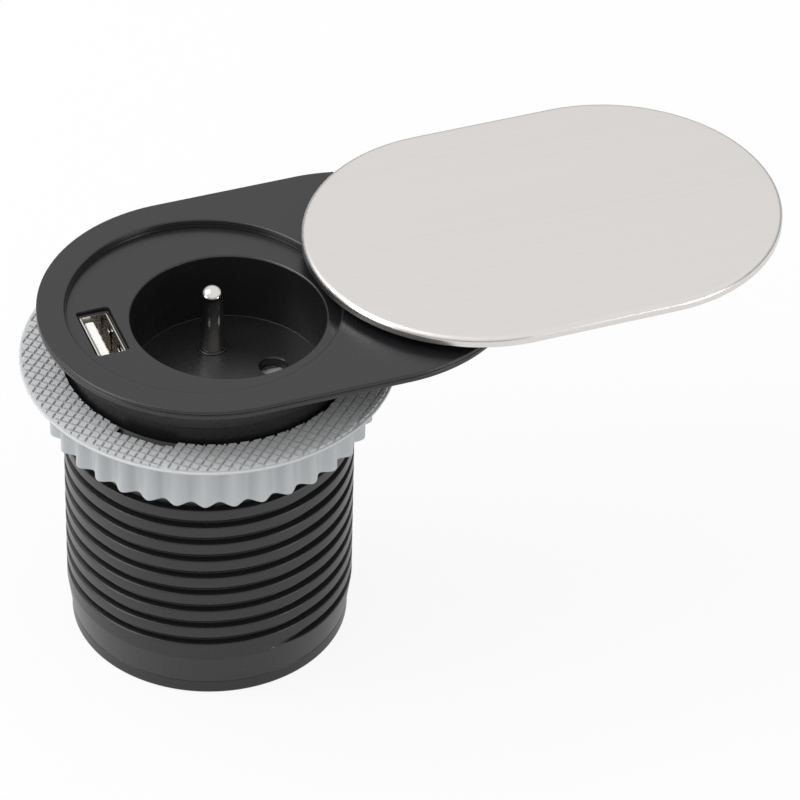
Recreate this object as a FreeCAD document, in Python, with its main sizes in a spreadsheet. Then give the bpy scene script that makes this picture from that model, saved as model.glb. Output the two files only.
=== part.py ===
import FreeCAD, Part
import math
import os
import Sketcher

Vector = FreeCAD.Vector
Rotation = FreeCAD.Rotation

# Frame: +Z up along the thread axis, origin where that axis meets the worktop's top face,
# +X towards the end of the plate that the open lid covers. All sizes in millimetres.
SIZES = {
    # face plate and the flange under it
    "plate_radius": 34.0,
    "plate_span": 29.9,
    "plate_thickness": 0.8,
    "flange_thickness": 1.2,
    "plate_edge": 0.25,
    "flange_edge": 0.2,
    "opening_radius": 27.5,
    "opening_shift": 1.05,
    "opening_taper": 0.2,
    "opening_bevel": 0.35,
    "peg_radius": 1.0,
    "peg_ring_radius": 31.7,
    # sliding lid
    "lid_radius": 34.5,
    "lid_height": 2.05,
    "lid_wall": 0.9,
    "lid_edge": 1.1,
    "lid_gap": 1.8,
    "lid_travel": 55.9,
    "carrier_radius": 31.5,
    "carrier_lip": 0.75,
    "stud_position": 33.0,
    "stud_spacing": 22.0,
    "stud_neck_radius": 2.0,
    "stud_head_radius": 3.6,
    "stud_head_thickness": 1.1,
    "slot_end_gap": 0.3,
    "keeper_screw_radius": 1.2,
    "keeper_head_radius": 2.3,
    "keeper_head_height": 1.0,
    "keeper_screw_reach": 1.6,
    # threaded base shell
    "thread_radius": 29.3,
    "groove_depth": 1.4,
    "thread_pitch": 4.42,
    "groove_mouth": 1.7,
    "groove_floor": 1.2,
    "shell_wall": 3.3,
    "neck_length": 5.9,
    "relief_depth": 0.7,
    "thread_top": 9.8,
    "thread_end": 66.5,
    "band_taper": 0.9,
    "cap_joint": 73.3,
    "cap_thickness": 3.1,
    "cap_edge": 0.5,
    # clamping nut and its washer
    "washer_width": 8.4,
    "washer_thickness": 1.0,
    "washer_edge": 0.3,
    "notch_depth": 0.7,
    "notch_angle": 23.5,
    "nut_flange_width": 6.2,
    "nut_flange_thickness": 1.5,
    "nut_length": 12.2,
    "nut_thread_start": 1.6,
    "nut_turns": 2.0,
    "grip_wall": 3.9,
    "grip_depth": 1.0,
    "grip_count": 36,
    # socket insert
    "insert_radius": 27.2,
    "insert_thickness": 2.2,
    "insert_drop": 1.65,
    "well_across": 3.0,
    "well_back": -3.2,
    "well_radius": 19.4,
    "well_wall": 1.5,
    "well_depth": 15.2,
    "well_floor": 2.0,
    "well_lip": 0.4,
    "pin_hole_spacing": 19.0,
    "pin_hole_radius": 2.7,
    "pin_hole_rim": 0.5,
    "earth_offset": 10.0,
    "earth_radius": 2.4,
    "earth_height": 15.0,
    "earth_dome": 2.16,
    "earth_shank_radius": 1.9,
    "earth_collar_radius": 3.1,
    "earth_collar_thickness": 0.6,
    # charging port
    "port_across": -21.9,
    "port_back": 0.25,
    "port_width": 5.7,
    "port_length": 13.1,
    "port_depth": 14.2,
    "port_wall": 0.3,
    "port_sink": 0.85,
    "pocket_width": 6.9,
    "pocket_length": 14.5,
    "pocket_depth": 1.25,
    "tongue_thickness": 1.84,
    "tongue_length": 11.1,
    "tongue_offset": 0.55,
    "tongue_sink": 0.8,
    "port_block_height": 4.0,
    "port_contact_width": 1.0,
    "port_contact_spacing": 2.2,
    "port_contact_thickness": 0.25,
    # contact block under the well
    "block_radius": 20.5,
    "block_height": 25.0,
    "shutter_thickness": 2.8,
    "shutter_width": 7.2,
    "shutter_length": 26.0,
    "shutter_travel": 6.4,
    "shutter_ramp": 1.6,
    "spring_radius": 1.1,
    "spring_wire_radius": 0.25,
    "spring_solid": 2.6,
    "spring_turns": 7,
    "contact_radius": 3.0,
    "contact_wall": 0.55,
    "contact_slit": 0.9,
    "contact_foot": 0.8,
    "cage_width": 7.2,
    "cage_depth": 6.2,
    "cage_height": 6.8,
    "wire_hole_radius": 1.6,
    "wire_level": 4.4,
    "terminal_screw_radius": 1.5,
    "terminal_head_radius": 2.3,
    "terminal_head_thickness": 1.2,
    "block_screw_radius": 1.2,
    "block_screw_head_radius": 2.2,
    "block_screw_across": 11.5,
    "block_screw_back": 11.5,
    "block_screw_bite": 1.4,
    # charger board
    "board_thickness": 1.6,
    "board_width": 26.0,
    "board_length": 47.0,
    "board_across": -18.0,
    "core_width": 13.0,
    "core_height": 13.0,
    "core_depth": 12.0,
    "core_back": 5.0,
    "core_level": 52.0,
    "core_leg": 3.4,
    "core_side": 1.8,
    "core_yoke": 2.2,
    "winding_bulge": 1.6,
    "capacitor_radius": 3.5,
    "capacitor_length": 9.0,
    "capacitor_spacing": 9.0,
    "capacitor_back": -7.5,
    "chip_size": 5.0,
    "chip_thickness": 1.4,
    "chip_spacing": 11.0,
    # bottom cap and what it carries
    "boss_ring_radius": 23.3,
    "boss_radius": 3.2,
    "boss_length": 11.0,
    "boss_floor": 2.0,
    "cap_screw_radius": 1.3,
    "cap_screw_head_radius": 2.5,
    "cap_screw_head_depth": 1.5,
    "board_grip": 1.5,
    "board_post_width": 5.0,
    "board_post_depth": 4.8,
    "board_post_offset": 9.0,
    "inlet_radius": 6.0,
    "cable_radius": 3.6,
    "bush_flange": 1.5,
    "clamp_post_height": 5.0,
    "clamp_post_radius": 3.0,
    "clamp_spacing": 20.0,
    "clamp_across": 5.0,
    "clamp_back": -14.0,
    "clamp_width": 7.0,
    "clamp_thickness": 2.6,
    "clamp_screw_radius": 1.3,
    "clamp_head_radius": 2.3,
    "clamp_head_height": 1.3,
    # clearances
    "slide_clearance": 0.12,
    "fit_clearance": 0.1,
    "screw_clearance": 0.05,
    "thread_clearance": 0.15,
    "crest_clearance": 0.25,
    "washer_clearance": 0.2,
    "running_gap": 0.3,
}

# Angles round the thread axis, in degrees from +X.
GROOVE_START = -85.0
NOTCH_START = -145.0
SOCKET_END_PEGS = (130, 180, 230)
LID_END_PEGS = (60, -60)

CAP_SCREWS = 3

# A screwdriver slot's width as a share of the head's radius.
DRIVER_SLOT_SHARE = 0.3


class Size:
    """A length with its number and the formula that gives it from the sheet."""

    def __init__(self, number, formula):
        self.number = number
        self.formula = formula

    def joined(self, other, sign, number):
        return Size(number, "(%s %s %s)" % (self.formula, sign, other.formula))

    def __add__(self, other):
        other = as_size(other)
        return self.joined(other, "+", self.number + other.number)

    def __sub__(self, other):
        other = as_size(other)
        return self.joined(other, "-", self.number - other.number)

    def __mul__(self, other):
        other = as_size(other)
        return self.joined(other, "*", self.number * other.number)

    def __truediv__(self, other):
        other = as_size(other)
        return self.joined(other, "/", self.number / other.number)

    def __radd__(self, other):
        return as_size(other) + self

    def __rsub__(self, other):
        return as_size(other) - self

    def __rmul__(self, other):
        return as_size(other) * self

    def __neg__(self):
        return as_size(0) - self


def as_size(value):
    return value if isinstance(value, Size) else Size(float(value), "%g" % value)


class Names:
    """The driving sizes by name."""


doc = FreeCAD.newDocument("FurnitureSocket")
sheet = doc.addObject("Spreadsheet::Sheet", "Sizes")
d = Names()
for row, (name, number) in enumerate(SIZES.items(), 1):
    sheet.set("A%d" % row, name)
    sheet.set("B%d" % row, str(number))
    sheet.setAlias("B%d" % row, name)
    setattr(d, name, Size(float(number), "Sizes." + name))
doc.recompute()

# Levels along the thread axis, from the plate down to the cap.
face_top = d.flange_thickness + d.plate_thickness
insert_top = face_top - d.insert_drop
insert_under = insert_top - d.insert_thickness
well_bottom = insert_top - d.well_depth
block_top = well_bottom - d.well_floor
block_bottom = block_top - d.block_height
lid_rim = face_top + d.lid_gap
lid_top = lid_rim + d.lid_height
lid_ceiling = lid_top - d.lid_wall
carrier_under = face_top + d.running_gap
slot_floor = carrier_under + d.carrier_lip
stud_shoulder = slot_floor + d.slide_clearance
stud_top = stud_shoulder + d.stud_head_thickness
washer_top = -d.thread_top
nut_top = washer_top - d.washer_thickness
nut_bottom = nut_top - d.nut_length
cap_top = -d.cap_joint
cap_bottom = cap_top - d.cap_thickness

# Radii that follow the thread's.
thread_root_radius = d.thread_radius - d.groove_depth
bore_radius = d.thread_radius - d.shell_wall
relief_radius = d.thread_radius - d.relief_depth
band_radius = d.thread_radius - d.band_taper
grip_radius = d.thread_radius + d.grip_wall
nut_flange_radius = d.thread_radius + d.nut_flange_width
washer_radius = d.thread_radius + d.washer_width

# The groove is laid out from the nut's own thread, so that the two are in mesh.
mesh_turns = int((d.thread_end.number + nut_bottom.number + d.nut_thread_start.number) / d.thread_pitch.number)
nut_thread_level = nut_bottom + d.nut_thread_start
groove_level = nut_thread_level - d.thread_pitch * mesh_turns
groove_rise = -groove_level - d.thread_top - d.groove_mouth / 2

# Places in plan that several pieces share.
contact_places = {
    "left": d.well_across - d.pin_hole_spacing / 2,
    "right": d.well_across + d.pin_hole_spacing / 2,
}
earth_back = d.well_back + d.earth_offset
stud_places = (d.stud_position, d.stud_position + d.stud_spacing)


def bind(thing, name, value):
    """Ties one property to the formula of a size."""
    thing.setExpression(name, as_size(value).formula)


def place(thing, x=0, y=0, z=0):
    for letter, value in zip("xyz", (x, y, z)):
        bind(thing, ".Placement.Base." + letter, value)


def new_body(label, x=0, y=0, z=0):
    body = doc.addObject("PartDesign::Body", label)
    body.Label = label
    place(body, x, y, z)
    return body


def origin_plane(body, role):
    return [thing for thing in body.Origin.OriginFeatures if thing.Role == role][0]


def new_sketch(body, name, role, z=None):
    sketch = body.newObject("Sketcher::SketchObject", name)
    sketch.AttachmentSupport = [(origin_plane(body, role), "")]
    sketch.MapMode = "FlatFace"
    if z is not None:
        bind(sketch, ".AttachmentOffset.Base.z", z)
    return sketch


def hold_point(sketch, edge, end, x, y):
    """Fixes one end of an edge at formulas for its two coordinates."""
    for kind, value in (("DistanceX", as_size(x)), ("DistanceY", as_size(y))):
        index = sketch.addConstraint(Sketcher.Constraint(kind, -1, 1, edge, end, value.number))
        bind(sketch, "Constraints[%d]" % index, value)


def draw_outline(sketch, points):
    """A closed polygon whose corners all follow formulas."""
    sized = [(as_size(x), as_size(y)) for x, y in points]
    for start, finish in zip(sized, sized[1:] + sized[:1]):
        begin = Vector(start[0].number, start[1].number, 0)
        stop = Vector(finish[0].number, finish[1].number, 0)
        sketch.addGeometry(Part.LineSegment(begin, stop))
    count = len(sized)
    for index in range(count):
        follower = (index + 1) % count
        sketch.addConstraint(Sketcher.Constraint("Coincident", index, 2, follower, 1))
    for index, (x, y) in enumerate(sized):
        hold_point(sketch, index, 1, x, y)


def draw_circles(sketch, circles):
    """Circles given as x, y and radius."""
    for x, y, radius in circles:
        x, y, radius = as_size(x), as_size(y), as_size(radius)
        centre = Vector(x.number, y.number, 0)
        edge = sketch.addGeometry(Part.Circle(centre, Vector(0, 0, 1), radius.number))
        hold_point(sketch, edge, 3, x, y)
        index = sketch.addConstraint(Sketcher.Constraint("Radius", edge, radius.number))
        bind(sketch, "Constraints[%d]" % index, radius)


def draw_stadium(sketch, radius, span, start=0):
    """Two half circles on the x axis, joined by straight lines."""
    radius, span, start = as_size(radius), as_size(span), as_size(start)
    reach, first, last = radius.number, start.number, start.number + span.number
    up = Vector(0, 0, 1)
    left = Part.Circle(Vector(first, 0, 0), up, reach)
    right = Part.Circle(Vector(last, 0, 0), up, reach)
    sketch.addGeometry(Part.ArcOfCircle(left, math.pi / 2, 3 * math.pi / 2))
    sketch.addGeometry(Part.LineSegment(Vector(first, -reach, 0), Vector(last, -reach, 0)))
    sketch.addGeometry(Part.ArcOfCircle(right, -math.pi / 2, math.pi / 2))
    sketch.addGeometry(Part.LineSegment(Vector(last, reach, 0), Vector(first, reach, 0)))
    for edge, follower in ((0, 1), (1, 2), (2, 3), (3, 0)):
        sketch.addConstraint(Sketcher.Constraint("Tangent", edge, 2, follower, 1))
    hold_point(sketch, 0, 3, start, 0)
    sketch.addConstraint(Sketcher.Constraint("PointOnObject", 2, 3, -1))
    index = sketch.addConstraint(Sketcher.Constraint("DistanceX", 0, 3, 2, 3, span.number))
    bind(sketch, "Constraints[%d]" % index, span)
    index = sketch.addConstraint(Sketcher.Constraint("Radius", 0, reach))
    bind(sketch, "Constraints[%d]" % index, radius)


def add_pad(body, name, sketch, length, downwards=False):
    pad = body.newObject("PartDesign::Pad", name)
    pad.Profile = sketch
    pad.Reversed = downwards
    bind(pad, "Length", length)
    return pad


def add_pocket(body, name, sketch, length, upwards=False):
    pocket = body.newObject("PartDesign::Pocket", name)
    pocket.Profile = sketch
    pocket.Reversed = upwards
    bind(pocket, "Length", length)
    return pocket


def add_turned(body, name, points):
    """A revolution about the body's own Z axis of an outline of radius and height."""
    sketch = new_sketch(body, name + "_outline", "XZ_Plane")
    draw_outline(sketch, points)
    turned = body.newObject("PartDesign::Revolution", name)
    turned.Profile = sketch
    turned.ReferenceAxis = (sketch, ["V_Axis"])
    turned.Angle = 360
    return turned


def add_primitive(body, kind, name, sizes, x=0, y=0, z=0, turn=None):
    """A primitive feature such as AdditiveBox or SubtractiveCylinder at a place in the body."""
    thing = body.newObject("PartDesign::" + kind, name)
    if turn is not None:
        thing.Placement = FreeCAD.Placement(Vector(), turn)
    place(thing, x, y, z)
    for prop, value in sizes.items():
        bind(thing, prop, value)
    return thing


def add_cylinder(body, name, radius, height, x=0, y=0, z=0, cut=False, turn=None):
    kind = "SubtractiveCylinder" if cut else "AdditiveCylinder"
    return add_primitive(body, kind, name, {"Radius": radius, "Height": height}, x, y, z, turn)


def add_box(body, name, sizes, x=0, y=0, z=0, cut=False):
    """A box centred on x and y, standing on z."""
    length, width, height = (as_size(value) for value in sizes)
    kind = "SubtractiveBox" if cut else "AdditiveBox"
    corner_x = as_size(x) - length / 2
    corner_y = as_size(y) - width / 2
    given = {"Length": length, "Width": width, "Height": height}
    return add_primitive(body, kind, name, given, corner_x, corner_y, z)


def add_cone(body, name, low_radius, high_radius, height, x=0, y=0, z=0, cut=False):
    kind = "SubtractiveCone" if cut else "AdditiveCone"
    given = {"Radius1": low_radius, "Radius2": high_radius, "Height": height}
    return add_primitive(body, kind, name, given, x, y, z)


def edges_where(body, test):
    """Names of the edges whose points all pass a test."""
    doc.recompute()
    found = []
    for index, edge in enumerate(body.Tip.Shape.Edges, 1):
        points = edge.discretize(5)
        if all(test(point) for point in points):
            found.append("Edge%d" % index)
    return found


def round_edges(body, name, size, test):
    base = (body.Tip, edges_where(body, test))
    fillet = body.newObject("PartDesign::Fillet", name)
    fillet.Base = base
    bind(fillet, "Radius", size)
    return fillet


def bevel_edges(body, name, size, test):
    base = (body.Tip, edges_where(body, test))
    chamfer = body.newObject("PartDesign::Chamfer", name)
    chamfer.Base = base
    bind(chamfer, "Size", size)
    return chamfer


def near(value, size):
    return abs(value - as_size(size).number) < 0.001


def radius_near(point, x, y, radius):
    across = point.x - as_size(x).number
    back = point.y - as_size(y).number
    return near(math.hypot(across, back), radius)


def on_ring(radius, angle):
    """The place at an angle round a circle."""
    turn = math.radians(angle)
    return radius * round(math.cos(turn), 6), radius * round(math.sin(turn), 6)


def peg_places():
    """Pegs round the flange: three at the socket's end, two at the lid's end."""
    places = [on_ring(d.peg_ring_radius, angle) for angle in SOCKET_END_PEGS]
    for angle in LID_END_PEGS:
        x, y = on_ring(d.peg_ring_radius, angle)
        places.append((d.plate_span + x, y))
    return places


def make_base_shell():
    """The moulding that goes through the worktop: flange, neck, thread and smooth band."""
    body = new_body("base_shell")
    outline = new_sketch(body, "flange_outline", "XY_Plane")
    draw_stadium(outline, d.plate_radius, d.plate_span)
    add_pad(body, "flange", outline, d.flange_thickness)
    bevel_edges(body, "flange_bevel", d.flange_edge, lambda p: near(p.z, d.flange_thickness))
    relief_step = d.thread_radius - relief_radius
    add_turned(body, "tube", [
        (bore_radius, 0),
        (d.thread_radius, 0),
        (d.thread_radius, -d.neck_length),
        (relief_radius, -d.neck_length - relief_step),
        (relief_radius, -d.thread_top + relief_step),
        (d.thread_radius, -d.thread_top),
        (d.thread_radius, -d.thread_end),
        (band_radius, cap_top),
        (bore_radius, cap_top),
    ])
    seat_radius = d.insert_radius + d.fit_clearance
    seat_depth = d.flange_thickness - insert_under
    add_cylinder(body, "insert_seat", seat_radius, seat_depth, -d.opening_shift, 0, insert_under, cut=True)
    cut_groove(body)
    boss = add_cylinder(body, "boss", d.boss_radius, d.boss_length, d.boss_ring_radius, 0, cap_top)
    hole_radius = d.cap_screw_radius + d.screw_clearance
    hole_depth = d.boss_length - d.boss_floor
    hole = add_cylinder(body, "boss_hole", hole_radius, hole_depth, d.boss_ring_radius, 0, cap_top, cut=True)
    repeat_round(body, "bosses", [boss, hole], CAP_SCREWS)
    for index, (x, y) in enumerate(peg_places()):
        radius = d.peg_radius + d.fit_clearance
        add_cylinder(body, "peg_hole_%d" % index, radius, d.flange_thickness, x, y, 0, cut=True)
    for index, x in enumerate(stud_places):
        shank = d.keeper_screw_radius + d.screw_clearance
        head = d.keeper_head_radius + d.screw_clearance
        add_cylinder(body, "stud_hole_%d" % index, shank, d.flange_thickness, x, 0, 0, cut=True)
        add_cone(body, "stud_sink_%d" % index, head, shank, d.keeper_head_height, x, 0, 0, cut=True)
    return body


def cut_groove(body):
    """The helical groove, from the smooth band up to the relief under the neck."""
    sketch = turned_sketch(body, "groove_outline")
    slope = (d.groove_mouth - d.groove_floor) / 2 / (d.thread_radius - thread_root_radius)
    beyond = d.crest_clearance
    mouth = d.groove_mouth / 2 + slope * beyond
    draw_outline(sketch, [
        (thread_root_radius, groove_level - d.groove_floor / 2),
        (d.thread_radius + beyond, groove_level - mouth),
        (d.thread_radius + beyond, groove_level + mouth),
        (thread_root_radius, groove_level + d.groove_floor / 2),
    ])
    add_helix(body, "SubtractiveHelix", "groove", sketch, d.thread_pitch, groove_rise)


def turned_sketch(body, name):
    """A sketch on the plane through the axis where the thread starts."""
    sketch = body.newObject("Sketcher::SketchObject", name)
    sketch.AttachmentSupport = [(origin_plane(body, "XZ_Plane"), "")]
    sketch.MapMode = "FlatFace"
    sketch.AttachmentOffset = FreeCAD.Placement(Vector(), Rotation(Vector(0, 1, 0), GROOVE_START))
    return sketch


def add_helix(body, kind, name, sketch, pitch, height):
    helix = body.newObject("PartDesign::" + kind, name)
    helix.Profile = sketch
    helix.ReferenceAxis = (sketch, ["V_Axis"])
    helix.Mode = 0
    helix.LeftHanded = False
    helix.Reversed = False
    bind(helix, "Pitch", pitch)
    bind(helix, "Height", height)
    return helix


def repeat_round(body, name, features, count):
    """Copies features evenly round the body's own Z axis."""
    pattern = body.newObject("PartDesign::PolarPattern", name)
    pattern.Originals = features
    pattern.Axis = (origin_plane(body, "Z_Axis"), [""])
    pattern.Angle = 360
    bind(pattern, "Occurrences", count)
    body.Tip = pattern
    return pattern


def make_face_plate():
    """The plate on top of the flange, with the collar that holds the insert down."""
    body = new_body("face_plate", x=-d.opening_shift)
    outline = new_sketch(body, "plate_outline", "XY_Plane", z=d.flange_thickness)
    draw_stadium(outline, d.plate_radius, d.plate_span, start=d.opening_shift)
    add_pad(body, "plate", outline, d.plate_thickness)
    bevel_edges(body, "plate_bevel", d.plate_edge, lambda p: near(p.z, face_top))
    add_cylinder(body, "collar", d.insert_radius, d.flange_thickness - insert_top, z=insert_top)
    mouth = d.opening_radius - d.opening_bevel
    lip = mouth - d.opening_taper
    throat = lip - d.opening_taper
    sketch = new_sketch(body, "opening_outline", "XZ_Plane")
    draw_outline(sketch, [
        (0, insert_top),
        (throat, insert_top),
        (lip, d.flange_thickness),
        (mouth, face_top - d.opening_bevel),
        (d.opening_radius, face_top),
        (0, face_top),
    ])
    opening = body.newObject("PartDesign::Groove", "opening")
    opening.Profile = sketch
    opening.ReferenceAxis = (sketch, ["V_Axis"])
    opening.Angle = 360
    for index, (x, y) in enumerate(peg_places()):
        height = d.flange_thickness - d.fit_clearance
        place_x = x + d.opening_shift
        add_cylinder(body, "peg_%d" % index, d.peg_radius, height, place_x, y, d.fit_clearance)
    for index, x in enumerate(stud_places):
        radius = d.keeper_screw_radius + d.screw_clearance
        place_x = x + d.opening_shift
        add_cylinder(body, "screw_hole_%d" % index, radius, face_top, place_x, 0, 0, cut=True)
    return body


def make_lid_cover():
    """The metal lid: a shallow tray with a rounded top edge."""
    body = new_body("lid_cover", x=d.lid_travel, z=lid_rim)
    outline = new_sketch(body, "lid_outline", "XY_Plane")
    draw_stadium(outline, d.lid_radius, d.plate_span)
    add_pad(body, "lid", outline, d.lid_height)
    round_edges(body, "lid_round", d.lid_edge, lambda p: near(p.z, d.lid_height))
    hollow = new_sketch(body, "hollow_outline", "XY_Plane")
    draw_stadium(hollow, d.lid_radius - d.lid_wall, d.plate_span)
    add_pocket(body, "hollow", hollow, d.lid_height - d.lid_wall, upwards=True)
    return body


def make_lid_carrier():
    """The plastic slide under the lid, with the slot that runs on the two studs."""
    body = new_body("lid_carrier", x=d.lid_travel, z=carrier_under)
    height = lid_ceiling - carrier_under
    outline = new_sketch(body, "carrier_outline", "XY_Plane")
    draw_stadium(outline, d.carrier_radius, d.plate_span)
    add_pad(body, "carrier", outline, height)
    start = d.stud_position - d.lid_travel - d.slot_end_gap
    span = d.stud_spacing + d.lid_travel + d.slot_end_gap * 2
    slot = new_sketch(body, "slot_outline", "XY_Plane")
    draw_stadium(slot, d.stud_neck_radius + d.slide_clearance, span, start)
    add_pocket(body, "slot", slot, height, upwards=True)
    channel = new_sketch(body, "channel_outline", "XY_Plane", z=d.carrier_lip)
    draw_stadium(channel, d.stud_head_radius + d.slide_clearance, span, start)
    add_pocket(body, "channel", channel, height - d.carrier_lip, upwards=True)
    return body


def make_keeper_stud(label, x):
    """A turned stud that the lid's slot runs on."""
    body = new_body(label, x=x, z=face_top)
    hole = d.keeper_screw_radius + d.screw_clearance
    shoulder = stud_shoulder - face_top
    top = stud_top - face_top
    hole_depth = d.keeper_screw_reach + d.fit_clearance
    add_turned(body, "stud", [
        (hole, 0),
        (d.stud_neck_radius, 0),
        (d.stud_neck_radius, shoulder),
        (d.stud_head_radius, shoulder),
        (d.stud_head_radius, top),
        (0, top),
        (0, hole_depth),
        (hole, hole_depth),
    ])
    return body


def make_keeper_screw(label, x):
    """A countersunk screw from the flange's underside up into the stud."""
    body = new_body(label, x=x)
    tip = face_top + d.keeper_screw_reach
    add_turned(body, "screw", [
        (0, 0),
        (d.keeper_head_radius, 0),
        (d.keeper_screw_radius, d.keeper_head_height),
        (d.keeper_screw_radius, tip),
        (0, tip),
    ])
    add_driver_slot(body, d.keeper_head_radius, 0, d.keeper_head_height / 2)
    return body


def add_driver_slot(body, head_radius, level, depth):
    """A straight screwdriver slot, cut up into a head whose face is at a level."""
    add_box(body, "driver_slot", (head_radius * 3, head_radius * DRIVER_SLOT_SHARE, depth), z=level, cut=True)


def make_socket_insert():
    """The disc with the plug well, its holes and the pocket of the charging port."""
    body = new_body("socket_insert")
    disc_height = insert_top - insert_under
    add_cylinder(body, "disc", d.insert_radius, disc_height, -d.opening_shift, 0, insert_under)
    cup_radius = d.well_radius + d.well_wall
    cup_height = insert_under - block_top
    add_cylinder(body, "cup", cup_radius, cup_height, d.well_across, d.well_back, block_top)
    depth = insert_top - well_bottom
    add_cylinder(body, "well", d.well_radius, depth, d.well_across, d.well_back, well_bottom, cut=True)
    round_edges(body, "well_lip", d.well_lip, lambda p: near(p.z, insert_top)
                and radius_near(p, d.well_across, d.well_back, d.well_radius))
    rim_level = well_bottom - d.pin_hole_rim
    rim_radius = d.pin_hole_radius + d.pin_hole_rim
    for side, x in contact_places.items():
        name = side + "_pin_hole"
        add_cylinder(body, name, d.pin_hole_radius, d.well_floor, x, d.well_back, block_top, cut=True)
        add_cone(body, name + "_rim", d.pin_hole_radius, rim_radius, d.pin_hole_rim,
                 x, d.well_back, rim_level, cut=True)
    shank_hole = d.earth_shank_radius + d.fit_clearance
    add_cylinder(body, "earth_hole", shank_hole, d.well_floor, d.well_across, earth_back, block_top, cut=True)
    for index, (x, y) in enumerate(block_screw_places()):
        radius = d.block_screw_radius + d.screw_clearance
        depth = d.block_screw_bite + d.fit_clearance
        add_cylinder(body, "pilot_%d" % index, radius, depth, x, y, block_top, cut=True)
    ledge = insert_top - d.pocket_depth
    pocket = (d.pocket_width, d.pocket_length, d.pocket_depth)
    add_box(body, "port_pocket", pocket, d.port_across, d.port_back, ledge, cut=True)
    hole_width = d.port_width + d.fit_clearance * 2
    hole_length = d.port_length + d.fit_clearance * 2
    through = (hole_width, hole_length, ledge - insert_under)
    add_box(body, "port_hole", through, d.port_across, d.port_back, insert_under, cut=True)
    return body


def block_screw_places():
    """The two screws that hold the contact block under the well."""
    y = d.well_back + d.block_screw_back
    return [(d.well_across + d.block_screw_across * sign, y) for sign in (-1, 1)]


def make_earth_pin():
    """The earth pin, with its collar on the well's floor and a shank down to its terminal."""
    body = new_body("earth_pin", d.well_across, earth_back, well_bottom)
    shank_end = cage_top - well_bottom
    add_turned(body, "pin", [
        (0, shank_end),
        (d.earth_shank_radius, shank_end),
        (d.earth_shank_radius, 0),
        (d.earth_collar_radius, 0),
        (d.earth_collar_radius, d.earth_collar_thickness),
        (d.earth_radius, d.earth_collar_thickness),
        (d.earth_radius, d.earth_height),
        (0, d.earth_height),
    ])
    round_edges(body, "dome", d.earth_dome, lambda p: near(p.z, d.earth_height)
                and radius_near(p, 0, 0, d.earth_radius))
    return body


def make_contact_block():
    """The moulding that holds the shutter, the contacts and the terminals."""
    body = new_body("contact_block")
    add_cylinder(body, "block", d.block_radius, d.block_height, d.well_across, d.well_back, block_bottom)
    chamber_width = d.shutter_width + d.shutter_travel + d.spring_solid + d.fit_clearance * 2
    chamber_back = d.well_back + d.shutter_width / 2 + d.fit_clearance - chamber_width / 2
    chamber = (d.shutter_length + d.fit_clearance * 2, chamber_width, chamber_depth)
    add_box(body, "shutter_chamber", chamber, d.well_across, chamber_back, chamber_floor, cut=True)
    cavity = chamber_floor - cage_top
    for side, x in contact_places.items():
        radius = d.contact_radius + d.fit_clearance
        add_cylinder(body, side + "_cavity", radius, cavity, x, d.well_back, cage_top, cut=True)
    shank = d.earth_shank_radius + d.fit_clearance
    shank_length = block_top - cage_top
    add_cylinder(body, "earth_way", shank, shank_length, d.well_across, earth_back, cage_top, cut=True)
    pocket = (d.cage_width + d.fit_clearance * 2, d.cage_depth + d.fit_clearance * 2, d.cage_height)
    for name, (x, y, sign) in cage_places().items():
        add_box(body, name + "_pocket", pocket, x, y, block_bottom, cut=True)
        turn = Rotation(Vector(1, 0, 0), -90 * sign)
        level = block_bottom + d.wire_level
        add_cylinder(body, name + "_wire_way", d.wire_hole_radius, d.block_radius, x, y, level,
                     cut=True, turn=turn)
    for index, (x, y) in enumerate(block_screw_places()):
        radius = d.block_screw_radius + d.fit_clearance
        add_cylinder(body, "screw_way_%d" % index, radius, d.block_height, x, y, block_bottom, cut=True)
    return body


def cage_places():
    """Each terminal's place, and the side that its wire comes from."""
    return {
        "left": (contact_places["left"], d.well_back, -1),
        "right": (contact_places["right"], d.well_back, -1),
        "earth": (d.well_across, earth_back, 1),
    }


def make_live_contact(label, x):
    """A slit brass sleeve that grips a plug's pin, closed below by the foot on its terminal."""
    body = new_body(label, x, d.well_back, cage_top)
    inner = d.contact_radius - d.contact_wall
    height = chamber_floor - cage_top - d.fit_clearance
    foot = d.contact_foot
    add_turned(body, "sleeve", [
        (0, 0),
        (d.contact_radius, 0),
        (d.contact_radius, height),
        (inner, height),
        (inner, foot),
        (0, foot),
    ])
    slit = (d.contact_radius * 3, d.contact_slit, height - foot * 2)
    add_box(body, "slit", slit, z=foot * 2, cut=True)
    return body


def make_shutter():
    """The slide that closes both pin holes until a plug's pins push it aside."""
    level = chamber_floor + d.fit_clearance
    body = new_body("shutter", d.well_across, d.well_back, level)
    add_box(body, "slide", (d.shutter_length, d.shutter_width, d.shutter_thickness))
    edge_y = d.shutter_width / 2
    bevel_edges(body, "ramp", d.shutter_ramp,
                lambda p: near(p.y, edge_y) and near(p.z, d.shutter_thickness))
    return body


def make_shutter_spring():
    """The coil that pushes the shutter back over the pin holes."""
    level = chamber_floor + d.fit_clearance + d.shutter_thickness / 2
    body = doc.addObject("PartDesign::Body", "shutter_spring")
    body.Placement = FreeCAD.Placement(Vector(), Rotation(Vector(1, 0, 0), 90))
    place(body, d.well_across, d.well_back - d.shutter_width / 2, level)
    length = d.shutter_travel + d.spring_solid
    rise = length - d.spring_wire_radius * 2 - d.fit_clearance * 2
    sketch = new_sketch(body, "wire_outline", "XZ_Plane")
    start = d.spring_wire_radius + d.fit_clearance
    draw_circles(sketch, [(d.spring_radius, start, d.spring_wire_radius)])
    add_helix(body, "AdditiveHelix", "coil", sketch, rise / d.spring_turns, rise)
    return body


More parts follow.
